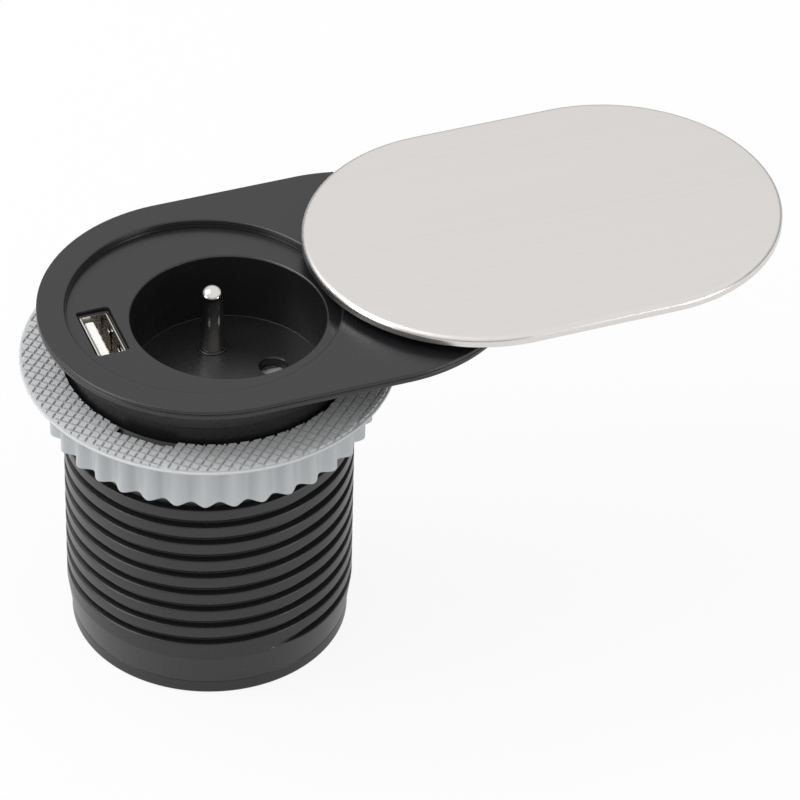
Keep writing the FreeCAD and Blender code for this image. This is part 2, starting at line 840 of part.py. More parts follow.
def make_terminal_cage(label, x, y):
    """A terminal block: the wire comes in from the side and the screw up from below."""
    body = new_body(label, x, y, block_bottom)
    add_box(body, "cage", (d.cage_width, d.cage_depth, d.cage_height))
    screw_hole = d.terminal_screw_radius + d.screw_clearance
    add_cylinder(body, "screw_hole", screw_hole, d.wire_level, cut=True)
    turn = Rotation(Vector(1, 0, 0), 90)
    add_cylinder(body, "wire_hole", d.wire_hole_radius, d.cage_depth, 0, d.cage_depth / 2, d.wire_level,
                 cut=True, turn=turn)
    return body


def make_round_screw(label, x, y, face, head_radius, head_thickness, shank_radius, reach):
    """A cheese-head screw that points up, with its head hanging under a face."""
    body = new_body(label, x, y, face)
    add_turned(body, "screw", [
        (0, -head_thickness),
        (head_radius, -head_thickness),
        (head_radius, 0),
        (shank_radius, 0),
        (shank_radius, reach),
        (0, reach),
    ])
    add_driver_slot(body, head_radius, -head_thickness, head_thickness / 2)
    return body


def make_port_shell():
    """The steel shell of the charging port."""
    body = new_body("usb_shell", d.port_across, d.port_back, port_bottom)
    add_box(body, "shell", (d.port_width, d.port_length, d.port_depth))
    inner = (d.port_width - d.port_wall * 2, d.port_length - d.port_wall * 2, d.port_depth)
    add_box(body, "inside", inner, cut=True)
    return body


def make_port_tongue():
    """The insulator in the port: a block at the bottom with the tongue standing on it."""
    body = new_body("usb_tongue", d.port_across, d.port_back, port_bottom)
    gap = d.port_wall + d.screw_clearance
    block = (d.port_width - gap * 2, d.port_length - gap * 2, d.port_block_height)
    add_box(body, "block", block)
    tongue_height = d.port_depth - d.tongue_sink
    add_box(body, "tongue", (d.tongue_thickness, d.tongue_length, tongue_height), x=tongue_across)
    return body


def make_port_contact(label, index):
    """One of the four contact springs on the tongue."""
    face = d.port_across + tongue_across + d.tongue_thickness / 2 + d.port_contact_thickness / 2
    back = d.port_back + d.port_contact_spacing * (index - 1.5)
    body = new_body(label, face, back, port_bottom + d.port_block_height)
    height = d.port_depth - d.tongue_sink - d.port_block_height - d.port_wall * 2
    add_box(body, "strip", (d.port_contact_thickness, d.port_contact_width, height))
    return body


def make_charger_board():
    """The upright circuit board, from the port's foot down into the cap's posts."""
    body = new_body("charger_board", d.board_across - d.board_thickness / 2, 0, board_bottom)
    add_box(body, "board", (d.board_thickness, d.board_width, d.board_length))
    return body


def make_transformer_core():
    body = new_body("transformer_core", core_across, d.core_back, -d.core_level)
    add_box(body, "core", (d.core_depth, d.core_width, d.core_height), z=-d.core_height / 2)
    window = (d.core_width - d.core_leg) / 2 - d.core_side
    inside = d.core_height - d.core_yoke * 2
    for name, sign in (("near", -1), ("far", 1)):
        middle = (d.core_leg + window) / 2 * sign
        add_box(body, name + "_window", (d.core_depth, window, inside), y=middle, z=-inside / 2, cut=True)
    return body


def make_transformer_winding():
    """The coil round the core's middle leg."""
    body = new_body("transformer_winding", core_across, d.core_back, -d.core_level)
    gap = d.fit_clearance
    window = (d.core_width - d.core_leg) / 2 - d.core_side
    height = d.core_height - d.core_yoke * 2 - gap * 2
    width = d.core_leg + window * 2 - gap * 2
    outer = (d.core_depth + d.winding_bulge * 2, width, height)
    add_box(body, "winding", outer, z=-height / 2)
    inner = (d.core_depth + gap * 2, d.core_leg + gap * 2, height)
    add_box(body, "leg_way", inner, z=-height / 2, cut=True)
    return body


def make_capacitor(label, sign):
    """A can capacitor lying out from the board."""
    body = new_body(label, d.board_across, d.capacitor_back, -d.core_level)
    turn = Rotation(Vector(0, 1, 0), 90)
    level = d.capacitor_spacing / 2 * sign
    add_cylinder(body, "can", d.capacitor_radius, d.capacitor_length, 0, 0, level, turn=turn)
    return body


def make_chip(label, index):
    """A chip on the back of the board."""
    across = d.board_across - d.board_thickness - d.chip_thickness / 2
    level = board_middle + d.chip_spacing * (index - 1) - d.chip_size / 2
    body = new_body(label, across, 0, level)
    add_box(body, "chip", (d.chip_thickness, d.chip_size, d.chip_size))
    return body


def make_bottom_cap():
    """The cap that closes the shell, with posts for the board and the cord clamp."""
    body = new_body("bottom_cap", z=cap_bottom)
    add_turned(body, "disc", [
        (d.inlet_radius, 0),
        (band_radius - d.cap_edge, 0),
        (band_radius, d.cap_edge),
        (band_radius, d.cap_thickness),
        (d.inlet_radius, d.cap_thickness),
    ])
    across = d.board_across - d.board_thickness / 2
    slot_width = d.board_thickness + d.fit_clearance * 2
    slot_floor_level = board_bottom - d.fit_clearance - cap_bottom
    slot_height = d.board_grip
    post_height = slot_floor_level + slot_height - d.cap_thickness
    post = (d.board_post_depth, d.board_post_width, post_height)
    for name, sign in (("near", -1), ("far", 1)):
        back = d.board_post_offset * sign
        add_box(body, name + "_post", post, across, back, d.cap_thickness)
        slot = (slot_width, d.board_post_width, slot_height)
        add_box(body, name + "_slot", slot, across, back, slot_floor_level, cut=True)
    for name, x in clamp_screw_places().items():
        add_cylinder(body, name + "_clamp_post", d.clamp_post_radius, d.clamp_post_height,
                     x, d.clamp_back, d.cap_thickness)
        hole = d.clamp_screw_radius + d.screw_clearance
        add_cylinder(body, name + "_clamp_hole", hole, d.clamp_post_height,
                     x, d.clamp_back, d.cap_thickness, cut=True)
    shank = d.cap_screw_radius + d.fit_clearance
    head = d.cap_screw_head_radius + d.fit_clearance
    sink = d.cap_screw_head_depth + d.running_gap
    hole = add_cylinder(body, "screw_hole", shank, d.cap_thickness, d.boss_ring_radius, cut=True)
    counterbore = add_cylinder(body, "screw_sink", head, sink, d.boss_ring_radius, cut=True)
    repeat_round(body, "screw_holes", [hole, counterbore], CAP_SCREWS)
    return body


def clamp_screw_places():
    return {
        "left": d.clamp_across - d.clamp_spacing / 2,
        "right": d.clamp_across + d.clamp_spacing / 2,
    }


def make_cap_screws():
    """The three screws that hold the cap to the shell's bosses."""
    screws = []
    face = cap_bottom + d.running_gap + d.cap_screw_head_depth
    reach = cap_top - face + d.boss_length - d.boss_floor - d.fit_clearance
    for index in range(CAP_SCREWS):
        x, y = on_ring(d.boss_ring_radius, index * 360 / CAP_SCREWS)
        screws.append(make_round_screw("cap_screw_%d" % index, x, y, face, d.cap_screw_head_radius,
                                       d.cap_screw_head_depth, d.cap_screw_radius, reach))
    return screws


def make_cable_bush():
    """The rubber bush in the cap's cable inlet."""
    body = new_body("cable_bush", z=cap_bottom)
    outer = d.inlet_radius - d.fit_clearance
    top = d.cap_thickness + d.bush_flange
    add_turned(body, "bush", [
        (d.cable_radius, d.running_gap),
        (outer, d.running_gap),
        (outer, d.cap_thickness),
        (outer + d.bush_flange, d.cap_thickness),
        (outer + d.bush_flange, top),
        (d.cable_radius, top),
    ])
    return body


def make_cord_clamp():
    """The bar that holds a cable's jacket down beside the inlet."""
    body = new_body("cord_clamp", d.clamp_across, d.clamp_back, cap_top + d.clamp_post_height)
    length = d.clamp_spacing + d.clamp_post_radius * 2
    add_box(body, "bar", (length, d.clamp_width, d.clamp_thickness))
    radius = d.clamp_screw_radius + d.fit_clearance
    for name, sign in (("left", -1), ("right", 1)):
        add_cylinder(body, name + "_hole", radius, d.clamp_thickness, d.clamp_spacing / 2 * sign, cut=True)
    return body


def make_clamp_screw(label, x):
    """A screw down through the cord clamp into the cap's post."""
    top = cap_top + d.clamp_post_height + d.clamp_thickness
    body = new_body(label, x, d.clamp_back, top)
    reach = d.clamp_thickness + d.clamp_post_height - d.fit_clearance
    add_turned(body, "screw", [
        (0, -reach),
        (d.clamp_screw_radius, -reach),
        (d.clamp_screw_radius, 0),
        (d.clamp_head_radius, 0),
        (d.clamp_head_radius, d.clamp_head_height),
        (0, d.clamp_head_height),
    ])
    return body


def make_clamp_nut():
    """The big nut: a flange, a wavy grip and the inner thread that runs in the groove."""
    body = new_body("clamp_nut", z=nut_bottom)
    bore = d.thread_radius + d.thread_clearance
    grip_length = d.nut_length - d.nut_flange_thickness
    middle = grip_radius - d.grip_depth / 2
    add_turned(body, "nut", [
        (0, 0),
        (middle, 0),
        (middle, grip_length),
        (nut_flange_radius, grip_length),
        (nut_flange_radius, d.nut_length),
        (0, d.nut_length),
    ])
    # Ridges and hollows are arcs of one radius that meet on the middle circle.
    half_chord = middle * math.pi / d.grip_count / 2
    wave = (half_chord * half_chord + d.grip_depth * d.grip_depth / 4) / d.grip_depth
    ridge = add_cylinder(body, "ridge", wave, grip_length, grip_radius - wave)
    repeat_round(body, "ridges", [ridge], d.grip_count)
    half_step = math.pi / d.grip_count.number
    hollow_ring = grip_radius - d.grip_depth + wave
    hollow_x = hollow_ring * math.cos(half_step)
    hollow_y = hollow_ring * math.sin(half_step)
    hollow = add_cylinder(body, "hollow", wave, grip_length, hollow_x, hollow_y, cut=True)
    repeat_round(body, "hollows", [hollow], d.grip_count)
    add_cylinder(body, "bore", bore, d.nut_length, cut=True)
    add_nut_thread(body, bore)
    return body


def add_nut_thread(body, bore):
    sketch = turned_sketch(body, "thread_outline")
    slope = (d.groove_mouth - d.groove_floor) / 2 / (d.thread_radius - thread_root_radius)
    tip = thread_root_radius + d.crest_clearance
    tip_half = d.groove_floor / 2 + slope * d.crest_clearance - d.thread_clearance
    root = bore + d.thread_clearance
    root_half = d.groove_mouth / 2 + slope * (root - d.thread_radius) - d.thread_clearance
    level = d.nut_thread_start
    draw_outline(sketch, [
        (tip, level - tip_half),
        (root, level - root_half),
        (root, level + root_half),
        (tip, level + tip_half),
    ])
    add_helix(body, "AdditiveHelix", "thread", sketch, d.thread_pitch, d.thread_pitch * d.nut_turns)


def make_grip_washer():
    """The non-slip washer between the nut and the worktop's underside."""
    body = new_body("grip_washer", z=nut_top)
    bore = d.thread_radius + d.washer_clearance
    add_turned(body, "washer", [
        (bore, 0),
        (washer_radius, 0),
        (washer_radius, d.washer_thickness - d.washer_edge),
        (washer_radius - d.washer_edge, d.washer_thickness),
        (bore, d.washer_thickness),
    ])
    turn = Rotation(Vector(0, 0, 1), NOTCH_START)
    notch = add_cylinder(body, "notch", bore + d.notch_depth, d.washer_thickness, cut=True, turn=turn)
    bind(notch, "Angle", d.notch_angle)
    return body


def make_group(label, bodies):
    """Identical pieces that share one node."""
    group = doc.addObject("Part::Compound", label)
    group.Label = label
    group.Links = bodies
    return group


# Levels and places that the inner pieces share.
cage_top = block_bottom + d.cage_height
chamber_depth = d.shutter_thickness + d.running_gap + d.fit_clearance
chamber_floor = block_top - chamber_depth
port_bottom = insert_top - d.port_sink - d.port_depth
tongue_across = -d.port_width / 2 + d.port_wall + d.tongue_offset + d.tongue_thickness / 2
board_bottom = port_bottom - d.board_length
board_middle = port_bottom - d.board_length / 2
core_across = d.board_across + d.winding_bulge + d.core_depth / 2 + d.fit_clearance

nodes = [
    make_base_shell(),
    make_face_plate(),
    make_lid_cover(),
    make_lid_carrier(),
    make_group("keeper_studs", [
        make_keeper_stud("keeper_stud_%d" % index, x) for index, x in enumerate(stud_places)]),
    make_group("keeper_screws", [
        make_keeper_screw("keeper_screw_%d" % index, x) for index, x in enumerate(stud_places)]),
    make_clamp_nut(),
    make_grip_washer(),
    make_socket_insert(),
    make_earth_pin(),
    make_contact_block(),
    make_live_contact("left_contact", contact_places["left"]),
    make_live_contact("right_contact", contact_places["right"]),
    make_shutter(),
    make_shutter_spring(),
    make_group("terminal_cages", [
        make_terminal_cage("cage_" + name, x, y) for name, (x, y, sign) in cage_places().items()]),
    make_group("terminal_screws", [
        make_round_screw("terminal_screw_" + name, x, y, block_bottom - d.fit_clearance,
                         d.terminal_head_radius, d.terminal_head_thickness, d.terminal_screw_radius,
                         d.wire_level)
        for name, (x, y, sign) in cage_places().items()]),
    make_group("block_screws", [
        make_round_screw("block_screw_%d" % index, x, y, block_bottom,
                         d.block_screw_head_radius, d.terminal_head_thickness, d.block_screw_radius,
                         d.block_height + d.block_screw_bite)
        for index, (x, y) in enumerate(block_screw_places())]),
    make_port_shell(),
    make_port_tongue(),
    make_group("usb_contacts", [make_port_contact("usb_contact_%d" % index, index) for index in range(4)]),
    make_charger_board(),
    make_transformer_core(),
    make_transformer_winding(),
    make_group("capacitors", [make_capacitor("capacitor_near", -1), make_capacitor("capacitor_far", 1)]),
    make_group("charger_chips", [make_chip("chip_%d" % index, index) for index in range(3)]),
    make_bottom_cap(),
    make_cable_bush(),
    make_cord_clamp(),
    make_group("clamp_screws", [
        make_clamp_screw("clamp_screw_" + name, x) for name, x in clamp_screw_places().items()]),
    make_group("cap_screws", make_cap_screws()),
]


doc.recompute()

failed = [thing.Label for thing in doc.Objects if "Invalid" in thing.State or "Error" in thing.State]
if failed:
    raise RuntimeError("These did not build: " + ", ".join(failed))

os.makedirs("parts", exist_ok=True)
for node in nodes:
    if node.Shape.isNull() or not node.Shape.isValid():
        raise RuntimeError("%s has no valid shape" % node.Label)
    node.Shape.exportStep("parts/%s.step" % node.Label)
    print("%-22s %10.1f mm3" % (node.Label, node.Shape.Volume))
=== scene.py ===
"""Furniture socket: a round worktop socket with a sliding steel lid, a charging port and a clamping nut."""

import math
from contextlib import contextmanager

import bmesh
import bpy
from bpy.props import FloatProperty, FloatVectorProperty, IntProperty, PointerProperty
from mathutils import Matrix, Vector


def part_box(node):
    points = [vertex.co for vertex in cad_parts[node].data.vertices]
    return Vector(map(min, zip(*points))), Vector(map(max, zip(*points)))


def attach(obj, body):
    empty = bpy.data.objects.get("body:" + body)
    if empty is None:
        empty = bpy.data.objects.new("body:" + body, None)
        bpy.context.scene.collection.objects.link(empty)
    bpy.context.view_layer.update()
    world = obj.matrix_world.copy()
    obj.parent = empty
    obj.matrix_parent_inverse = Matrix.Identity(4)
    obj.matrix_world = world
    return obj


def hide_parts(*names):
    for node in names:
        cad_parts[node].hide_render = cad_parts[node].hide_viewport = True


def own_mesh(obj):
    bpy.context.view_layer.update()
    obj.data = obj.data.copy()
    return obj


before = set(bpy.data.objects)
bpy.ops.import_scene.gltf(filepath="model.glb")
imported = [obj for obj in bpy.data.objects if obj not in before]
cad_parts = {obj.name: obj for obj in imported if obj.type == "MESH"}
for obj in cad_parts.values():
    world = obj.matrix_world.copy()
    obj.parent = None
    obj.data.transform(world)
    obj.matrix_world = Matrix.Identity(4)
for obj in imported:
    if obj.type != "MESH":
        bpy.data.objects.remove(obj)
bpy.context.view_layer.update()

bl_info = {
    "name": "Furniture Socket",
    "version": (1, 0, 0),
    "blender": (4, 5, 0),
    "location": "View3D > Sidebar > Socket",
    "description": "Models the finishes and details of a worktop furniture socket",
    "category": "Object",
}

MM = 0.001

# Points nearer than the first are one, and heights nearer than the second are level.
WELD = 0.002 * MM
LEVEL_MATCH = 0.01 * MM

# Roundings that several pieces share, and how far a flat or a cutting tool goes past an edge.
FINE_EDGE = 0.1 * MM
CRISP_EDGE = 0.2 * MM
BROKEN_EDGE = 0.3 * MM
SOFT_EDGE = 0.4 * MM
CAP_JOINT_EDGE = 0.18 * MM
PAST = 1 * MM

# Sizes that two pieces have to share.
PIN_RADIUS = 2.4 * MM
SCREW_HEAD = 2.5 * MM
CORD_INLET = 6.0 * MM

# Segments round a full turn, fine enough for a smooth edge from a step away.
TURN_STEPS = 128
THREAD_STEPS = 96
SMALL_STEPS = 32

# Rest places that the frame gives.
PLATE_LOW, PLATE_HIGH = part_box("face_plate")
SHELL_LOW, SHELL_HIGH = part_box("base_shell")
LID_LOW, LID_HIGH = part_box("lid_cover")
WASHER_LOW, WASHER_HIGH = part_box("grip_washer")
NUT_LOW, NUT_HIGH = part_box("clamp_nut")
CAP_LOW, CAP_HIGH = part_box("bottom_cap")
INSERT_LOW, INSERT_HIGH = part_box("socket_insert")
PIN_LOW, PIN_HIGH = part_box("earth_pin")
PORT_LOW, PORT_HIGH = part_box("usb_shell")
TONGUE_LOW, TONGUE_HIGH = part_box("usb_tongue")
BUSH_LOW, BUSH_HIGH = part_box("cable_bush")
SCREWS_LOW, SCREWS_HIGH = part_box("cap_screws")

PLATE_RADIUS = PLATE_HIGH.y
PLATE_SPAN = PLATE_HIGH.x - PLATE_RADIUS
PLATE_TOP = PLATE_HIGH.z
FLANGE_TOP = SHELL_HIGH.z
LID_RADIUS = LID_HIGH.y
LID_START = LID_LOW.x + LID_RADIUS


def linear(colour):
    """An sRGB hex colour as the linear one that shaders and colour properties hold."""
    channels = [int(colour[place:place + 2], 16) / 255 for place in (1, 3, 5)]
    return [c / 12.92 if c <= 0.04045 else ((c + 0.055) / 1.055) ** 2.4 for c in channels] + [1.0]


def length(name, description, millimetres):
    return FloatProperty(name=name, description=description, default=millimetres * MM,
                         unit="LENGTH", precision=5)


def colour(name, description, code):
    return FloatVectorProperty(name=name, description=description, default=linear(code),
                               size=4, min=0.0, max=1.0, subtype="COLOR")


class ShellSizes(bpy.types.PropertyGroup):
    """Sizes of the threaded shell."""

    crest_radius: length("Crest radius", "Outside radius of the neck and the thread", 29.3)
    root_radius: length("Root radius", "Radius at the floor of the groove", 27.9)
    pitch: length("Pitch", "Rise of the thread in one turn", 4.42)
    groove_mouth: length("Groove mouth", "Width of the groove at the crest", 1.7)
    groove_floor: length("Groove floor", "Width of the groove at its root", 1.2)
    lip: length("Lip", "Rounding of the groove's edges", 0.28)
    groove_level: length("Groove level", "Height at which the groove starts", -65.6)
    groove_angle: FloatProperty(name="Groove angle", description="Direction in which the groove starts",
                                default=math.radians(-87), subtype="ANGLE")
    run_out: FloatProperty(name="Run-out", description="Part of a turn over which the groove fades",
                           default=math.radians(26), subtype="ANGLE")
    neck_end: length("Neck end", "Height of the neck's lower edge", -5.9)
    relief_radius: length("Relief radius", "Radius of the waist above the thread", 28.6)
    thread_top: length("Thread top", "Height at which the thread ends", -11.6)
    band_top: length("Band top", "Height at which the smooth tapered band starts", -66.5)
    bore_radius: length("Bore radius", "Inside radius of the shell", 26.0)
    seat_radius: length("Seat radius", "Radius of the seat that holds the insert", 27.3)


class PlateSizes(bpy.types.PropertyGroup):
    """Sizes of the face plate and its opening."""

    opening_radius: length("Opening radius", "Radius of the round opening at the top face", 27.5)
    opening_shift: length("Opening shift", "How far the opening lies from the thread's axis", -1.05)
    throat_radius: length("Throat radius", "Radius of the opening at the insert's face", 27.0)
    opening_edge: length("Opening edge", "Rounding of the opening's top edge", 0.4)
    outer_edge: length("Outer edge", "Rounding of the plate's outer edge", 0.3)
    joint_edge: length("Joint edge", "Rounding on each side of the joint with the flange", 0.32)


class InsertSizes(bpy.types.PropertyGroup):
    """Sizes of the socket insert and the things in it."""

    well_across: length("Well across", "Place of the well along the plate", 3.0)
    well_back: length("Well back", "Place of the well across the plate", -3.2)
    well_radius: length("Well radius", "Radius of the plug well", 19.4)
    well_floor: length("Well floor", "Height of the well's floor", -14.85)
    well_lip: length("Well lip", "Rounding of the well's top edge", 0.45)
    wall: length("Wall", "Thickness of the cup round the well", 1.5)
    disc_under: length("Disc underside", "Height of the disc's lower face", -1.85)
    hole_radius: length("Hole radius", "Radius of the two pin holes", 2.7)
    hole_spacing: length("Hole spacing", "Distance between the two pin holes", 19.0)
    pocket_width: length("Pocket width", "Width of the port's pocket", 6.9)
    pocket_length: length("Pocket length", "Length of the port's pocket", 14.5)
    pocket_depth: length("Pocket depth", "Depth of the port's pocket", 1.25)
    spring_wire: length("Spring wire", "Thickness of the shutter spring's wire", 0.5)
    spring_turns: IntProperty(name="Spring turns", description="Turns of the spring", default=7, min=3)


class LidSizes(bpy.types.PropertyGroup):
    """Sizes of the lid."""

    edge: length("Edge", "Rounding of the lid's top edge", 0.95)
    wall: length("Wall", "Thickness of the lid's metal", 0.9)


class GripSizes(bpy.types.PropertyGroup):
    """Sizes of the nut and its washer."""

    lobes: IntProperty(name="Lobes", description="Ridges round the nut", default=36, min=8)
    grip_radius: length("Grip radius", "Radius over the nut's ridges", 33.2)
    grip_depth: length("Grip depth", "Depth of the hollows between the ridges", 1.7)
    grip_edge: length("Grip edge", "Rounding of the nut's lower edge", 0.45)
    flange_thickness: length("Flange thickness", "Thickness of the nut's flange", 1.5)
    bore_radius: length("Bore radius", "Inside radius of the nut", 29.45)
    lead_in: length("Lead-in", "Size of the chamfer at the top of the nut's bore", 1.5)
    block_pitch: length("Block pitch", "Distance between the washer's raised blocks", 1.8)
    block_gap: length("Block gap", "Width of the grooves between the blocks", 0.42)
    block_height: length("Block height", "Height of the blocks", 0.5)
    washer_bore: length("Washer bore", "Inside radius of the washer", 29.4)
    washer_rim: length("Washer rim", "Width of the washer's smooth rim", 0.55)
    notch_depth: length("Notch depth", "How far the notch in the washer's bore goes out", 1.4)
    notch_start: FloatProperty(name="Notch start", default=math.radians(-145), subtype="ANGLE",
                               description="Direction in which the washer's notch starts")
    notch_sweep: FloatProperty(name="Notch sweep", description="How far round the notch goes",
                               default=math.radians(23.5), subtype="ANGLE")


class SocketColours(bpy.types.PropertyGroup):
    """Colours of the finishes that show."""

    abs_black: colour("Black ABS", "Plate, insert, shell and cap", "#18181a")
    steel: colour("Brushed steel", "Lid", "#dddad7")
    nut: colour("Nut", "Clamping nut", "#b1b4b6")
    washer: colour("Washer", "Non-slip washer", "#bcbdbe")
    tongue: colour("Port tongue", "Insulator in the charging port", "#e4e2df")
    shutter: colour("Shutter", "Slide behind the pin holes", "#8f8f8c")


# Helpers for modelling

def deselect():
    bpy.ops.object.select_all(action="DESELECT")


def choose(piece):
    """Selects one piece alone and makes it the active one."""
    deselect()
    piece.select_set(True)
    bpy.context.view_layer.objects.active = piece


def name_piece(name):
    piece = bpy.context.object
    piece.name = name
    piece.data.name = name
    return piece


@contextmanager
def editing(piece, mode="VERT"):
    """Edit mode on one piece, with nothing selected."""
    choose(piece)
    bpy.ops.object.mode_set(mode="EDIT")
    bpy.ops.mesh.select_mode(type=mode)
    bpy.ops.mesh.select_all(action="DESELECT")
    yield
    bpy.ops.object.mode_set(mode="OBJECT")


def select_whole():
    """Selects all of the edited mesh."""
    bpy.ops.mesh.select_all(action="SELECT")


def weld():
    """Merges the edited mesh's doubles."""
    select_whole()
    bpy.ops.mesh.remove_doubles(threshold=WELD)


def clean_mesh():
    """Welds the edited mesh and turns its faces outwards."""
    weld()
    bpy.ops.mesh.normals_make_consistent(inside=False)


def extrude_by(offset):
    bpy.ops.mesh.extrude_region_move(TRANSFORM_OT_translate={"value": offset})


def widen(ratio):
    """Scales what is selected about the thread's axis, and keeps its height."""
    bpy.ops.transform.resize(value=(ratio, ratio, 1), center_override=(0, 0, 0))


def slice_whole(point, normal, **clear):
    """Cuts the edited mesh by a plane, and clears one side if asked. The cut is left selected."""
    select_whole()
    bpy.ops.mesh.bisect(plane_co=point, plane_no=normal, threshold=WELD / 10, **clear)


def edited_shape():
    return bmesh.from_edit_mesh(bpy.context.edit_object.data)


def pick(kind, test):
    """Selects only the edited mesh's verts, edges or faces that pass a test."""
    modes = {"verts": "VERT", "edges": "EDGE", "faces": "FACE"}
    bpy.ops.mesh.select_mode(type=modes[kind])
    bpy.ops.mesh.select_all(action="DESELECT")
    shape = edited_shape()
    for item in getattr(shape, kind):
        if test(item):
            item.select_set(True)
    shape.select_flush_mode()
    bmesh.update_edit_mesh(bpy.context.edit_object.data)


def apply_place(piece):
    """Puts a piece's place into its mesh."""
    choose(piece)
    bpy.ops.object.transform_apply(location=True, rotation=True, scale=True)


def rounded(corners, steps=5):
    """Points through corners given as radius, level and, where it is round, its rounding."""
    points = []
    for before, corner, after in zip([None] + corners[:-1], corners, corners[1:] + [None]):
        place = Vector(corner[:2])
        if len(corner) < 3 or before is None or after is None:
            points.append(place)
            continue
        size = corner[2]
        back = (Vector(before[:2]) - place).normalized()
        ahead = (Vector(after[:2]) - place).normalized()
        half = back.angle(ahead) / 2
        middle = place + (back + ahead).normalized() * size / math.sin(half)
        first = place + back * size / math.tan(half) - middle
        last = place + ahead * size / math.tan(half) - middle
        points.extend(middle + first.slerp(last, step / steps) * size for step in range(steps + 1))
    return points


def draw_line(name, points):
    """A chain of vertices, each extruded from the last."""
    places = [Vector(point) for point in points]
    deselect()
    bpy.ops.mesh.primitive_plane_add(size=MM, location=places[0])
    line = name_piece(name)
    with editing(line):
        select_whole()
        bpy.ops.mesh.merge(type="CENTER")
        for start, finish in zip(places, places[1:]):
            extrude_by(finish - start)
    apply_place(line)
    return line


def turned(name, corners, centre=(0.0, 0.0), steps=TURN_STEPS, arc_steps=5):
    """An outline of radius and level spun round a vertical axis, half a step off the X axis."""
    angle = math.pi / steps
    points = [(centre[0] + radius * math.cos(angle), centre[1] + radius * math.sin(angle), level)
              for radius, level in rounded(corners, arc_steps)]
    piece = draw_line(name, points)
    with editing(piece):
        select_whole()
        bpy.ops.mesh.spin(steps=steps, angle=math.tau, center=(*centre, 0.0), axis=(0, 0, 1))
        clean_mesh()
    return piece


def stretch(piece, middle, span):
    """Moves the half of a round piece beyond its middle, so that the round becomes a stadium."""
    with editing(piece):
        pick("verts", lambda vert: vert.co.x > middle)
        bpy.ops.transform.translate(value=(span, 0, 0))


def close_rims(piece, *levels, ring=False):
    """Fills the open rim at each level with one flat face, or the flat ring between a pair of rims."""
    with editing(piece, "EDGE"):
        for level in levels:
            pick("edges", lambda edge: edge.is_boundary and all(
                abs(v.co.z - level) < LEVEL_MATCH for v in edge.verts))
            if ring:
                bpy.ops.mesh.fill(use_beauty=False)
            else:
                bpy.ops.mesh.edge_face_add()
        clean_mesh()


def extend_rim(path):
    """Extrudes the selected round rim along points of radius and level, the first its own."""
    for (radius, level), (next_radius, next_level) in zip(path, path[1:]):
        extrude_by((0, 0, next_level - level))
        widen(next_radius / radius)


def join(piece, *others):
    deselect()
    for other in (piece, *others):
        other.select_set(True)
    bpy.context.view_layer.objects.active = piece
    bpy.ops.object.join()
    return piece


def use_modifier(piece, kind, **settings):
    """Adds a modifier with its settings and applies it."""
    choose(piece)
    bpy.ops.object.modifier_add(type=kind)
    modifier = piece.modifiers[-1]
    for name, value in settings.items():
        setattr(modifier, name, value)
    bpy.ops.object.modifier_apply(modifier=modifier.name)


def wind(piece, pitch, turns, steps, **settings):
    """Winds an outline up round an axis."""
    use_modifier(piece, "SCREW", angle=math.tau, screw_offset=pitch, iterations=turns, steps=steps,
                 render_steps=steps, **settings)


def carve(piece, tool, operation="DIFFERENCE"):
    """Cuts a closed tool out of a piece, or keeps or adds what it covers."""
    use_modifier(piece, "BOOLEAN", object=tool, operation=operation, solver="EXACT")
    bpy.data.objects.remove(tool)


def copy_round(piece, count):
    """Turned copies of a piece about the thread's axis, all in one mesh."""
    copies = []
    for index in range(1, count):
        twin = piece.copy()
        twin.data = piece.data.copy()
        twin.data.transform(Matrix.Rotation(math.tau * index / count, 4, "Z"))
        bpy.context.scene.collection.objects.link(twin)
        copies.append(twin)
    return join(piece, *copies)


def soft_box(name, low, high, edge, steps=2, corner=0):
    """A block between two corners with rounded edges, and rounder upright ones if asked."""
    deselect()
    middle = [(a + b) / 2 for a, b in zip(low, high)]
    bpy.ops.mesh.primitive_cube_add(size=1, location=middle, scale=[b - a for a, b in zip(low, high)])
    block = name_piece(name)
    apply_place(block)
    if corner:
        with editing(block, "EDGE"):
            pick("edges", lambda e: abs(e.verts[0].co.z - e.verts[1].co.z) > LEVEL_MATCH)
            bpy.ops.mesh.bevel(offset=corner, segments=6, affect="EDGES")
            pick("faces", lambda face: abs(face.normal.z) > 0.5)
            bpy.ops.mesh.region_to_loop()
            bpy.ops.mesh.bevel(offset=edge, segments=steps, affect="EDGES")
    elif edge:
        with editing(block, "EDGE"):
            select_whole()
            bpy.ops.mesh.bevel(offset=edge, segments=steps, affect="EDGES")
    return block


def paint(piece, slot, finish=None):
    """Gives a piece the finish named by its slot, or another finish if one is given."""
    piece.data.materials.clear()
    piece.data.materials.append(material_for(finish or slot))


def paint_nodes(finishes):
    """Gives nodes of the frame their finishes."""
    for node, slot in finishes.items():
        paint(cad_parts[node], slot)


def finish_piece(piece, body, node, slot, finish=None, sharp=32):
    """Cleans and shades a piece, ties it to its body, hides the node it stands for, and paints it."""
    with editing(piece):
        clean_mesh()
    choose(piece)
    bpy.ops.object.shade_smooth_by_angle(angle=math.radians(sharp))
    use_modifier(piece, "WEIGHTED_NORMAL", keep_sharp=True)
    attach(piece, body)
    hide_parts(node)
    paint(piece, slot, finish)


# Helpers for materials

def per_metre(millimetres):
    """The texture scale whose features are that many millimetres apart."""
    return 1 / (millimetres * MM)


def add_node(tree, kind, inputs=None, **settings):
    """Adds a node with its settings; an input is a value or the socket that feeds it."""
    node = tree.nodes.new(kind)
    for name, value in settings.items():
        setattr(node, name, value)
    for name, value in (inputs or {}).items():
        if isinstance(value, bpy.types.NodeSocket):
            tree.links.new(value, node.inputs[name])
        else:
            node.inputs[name].default_value = value
    return node


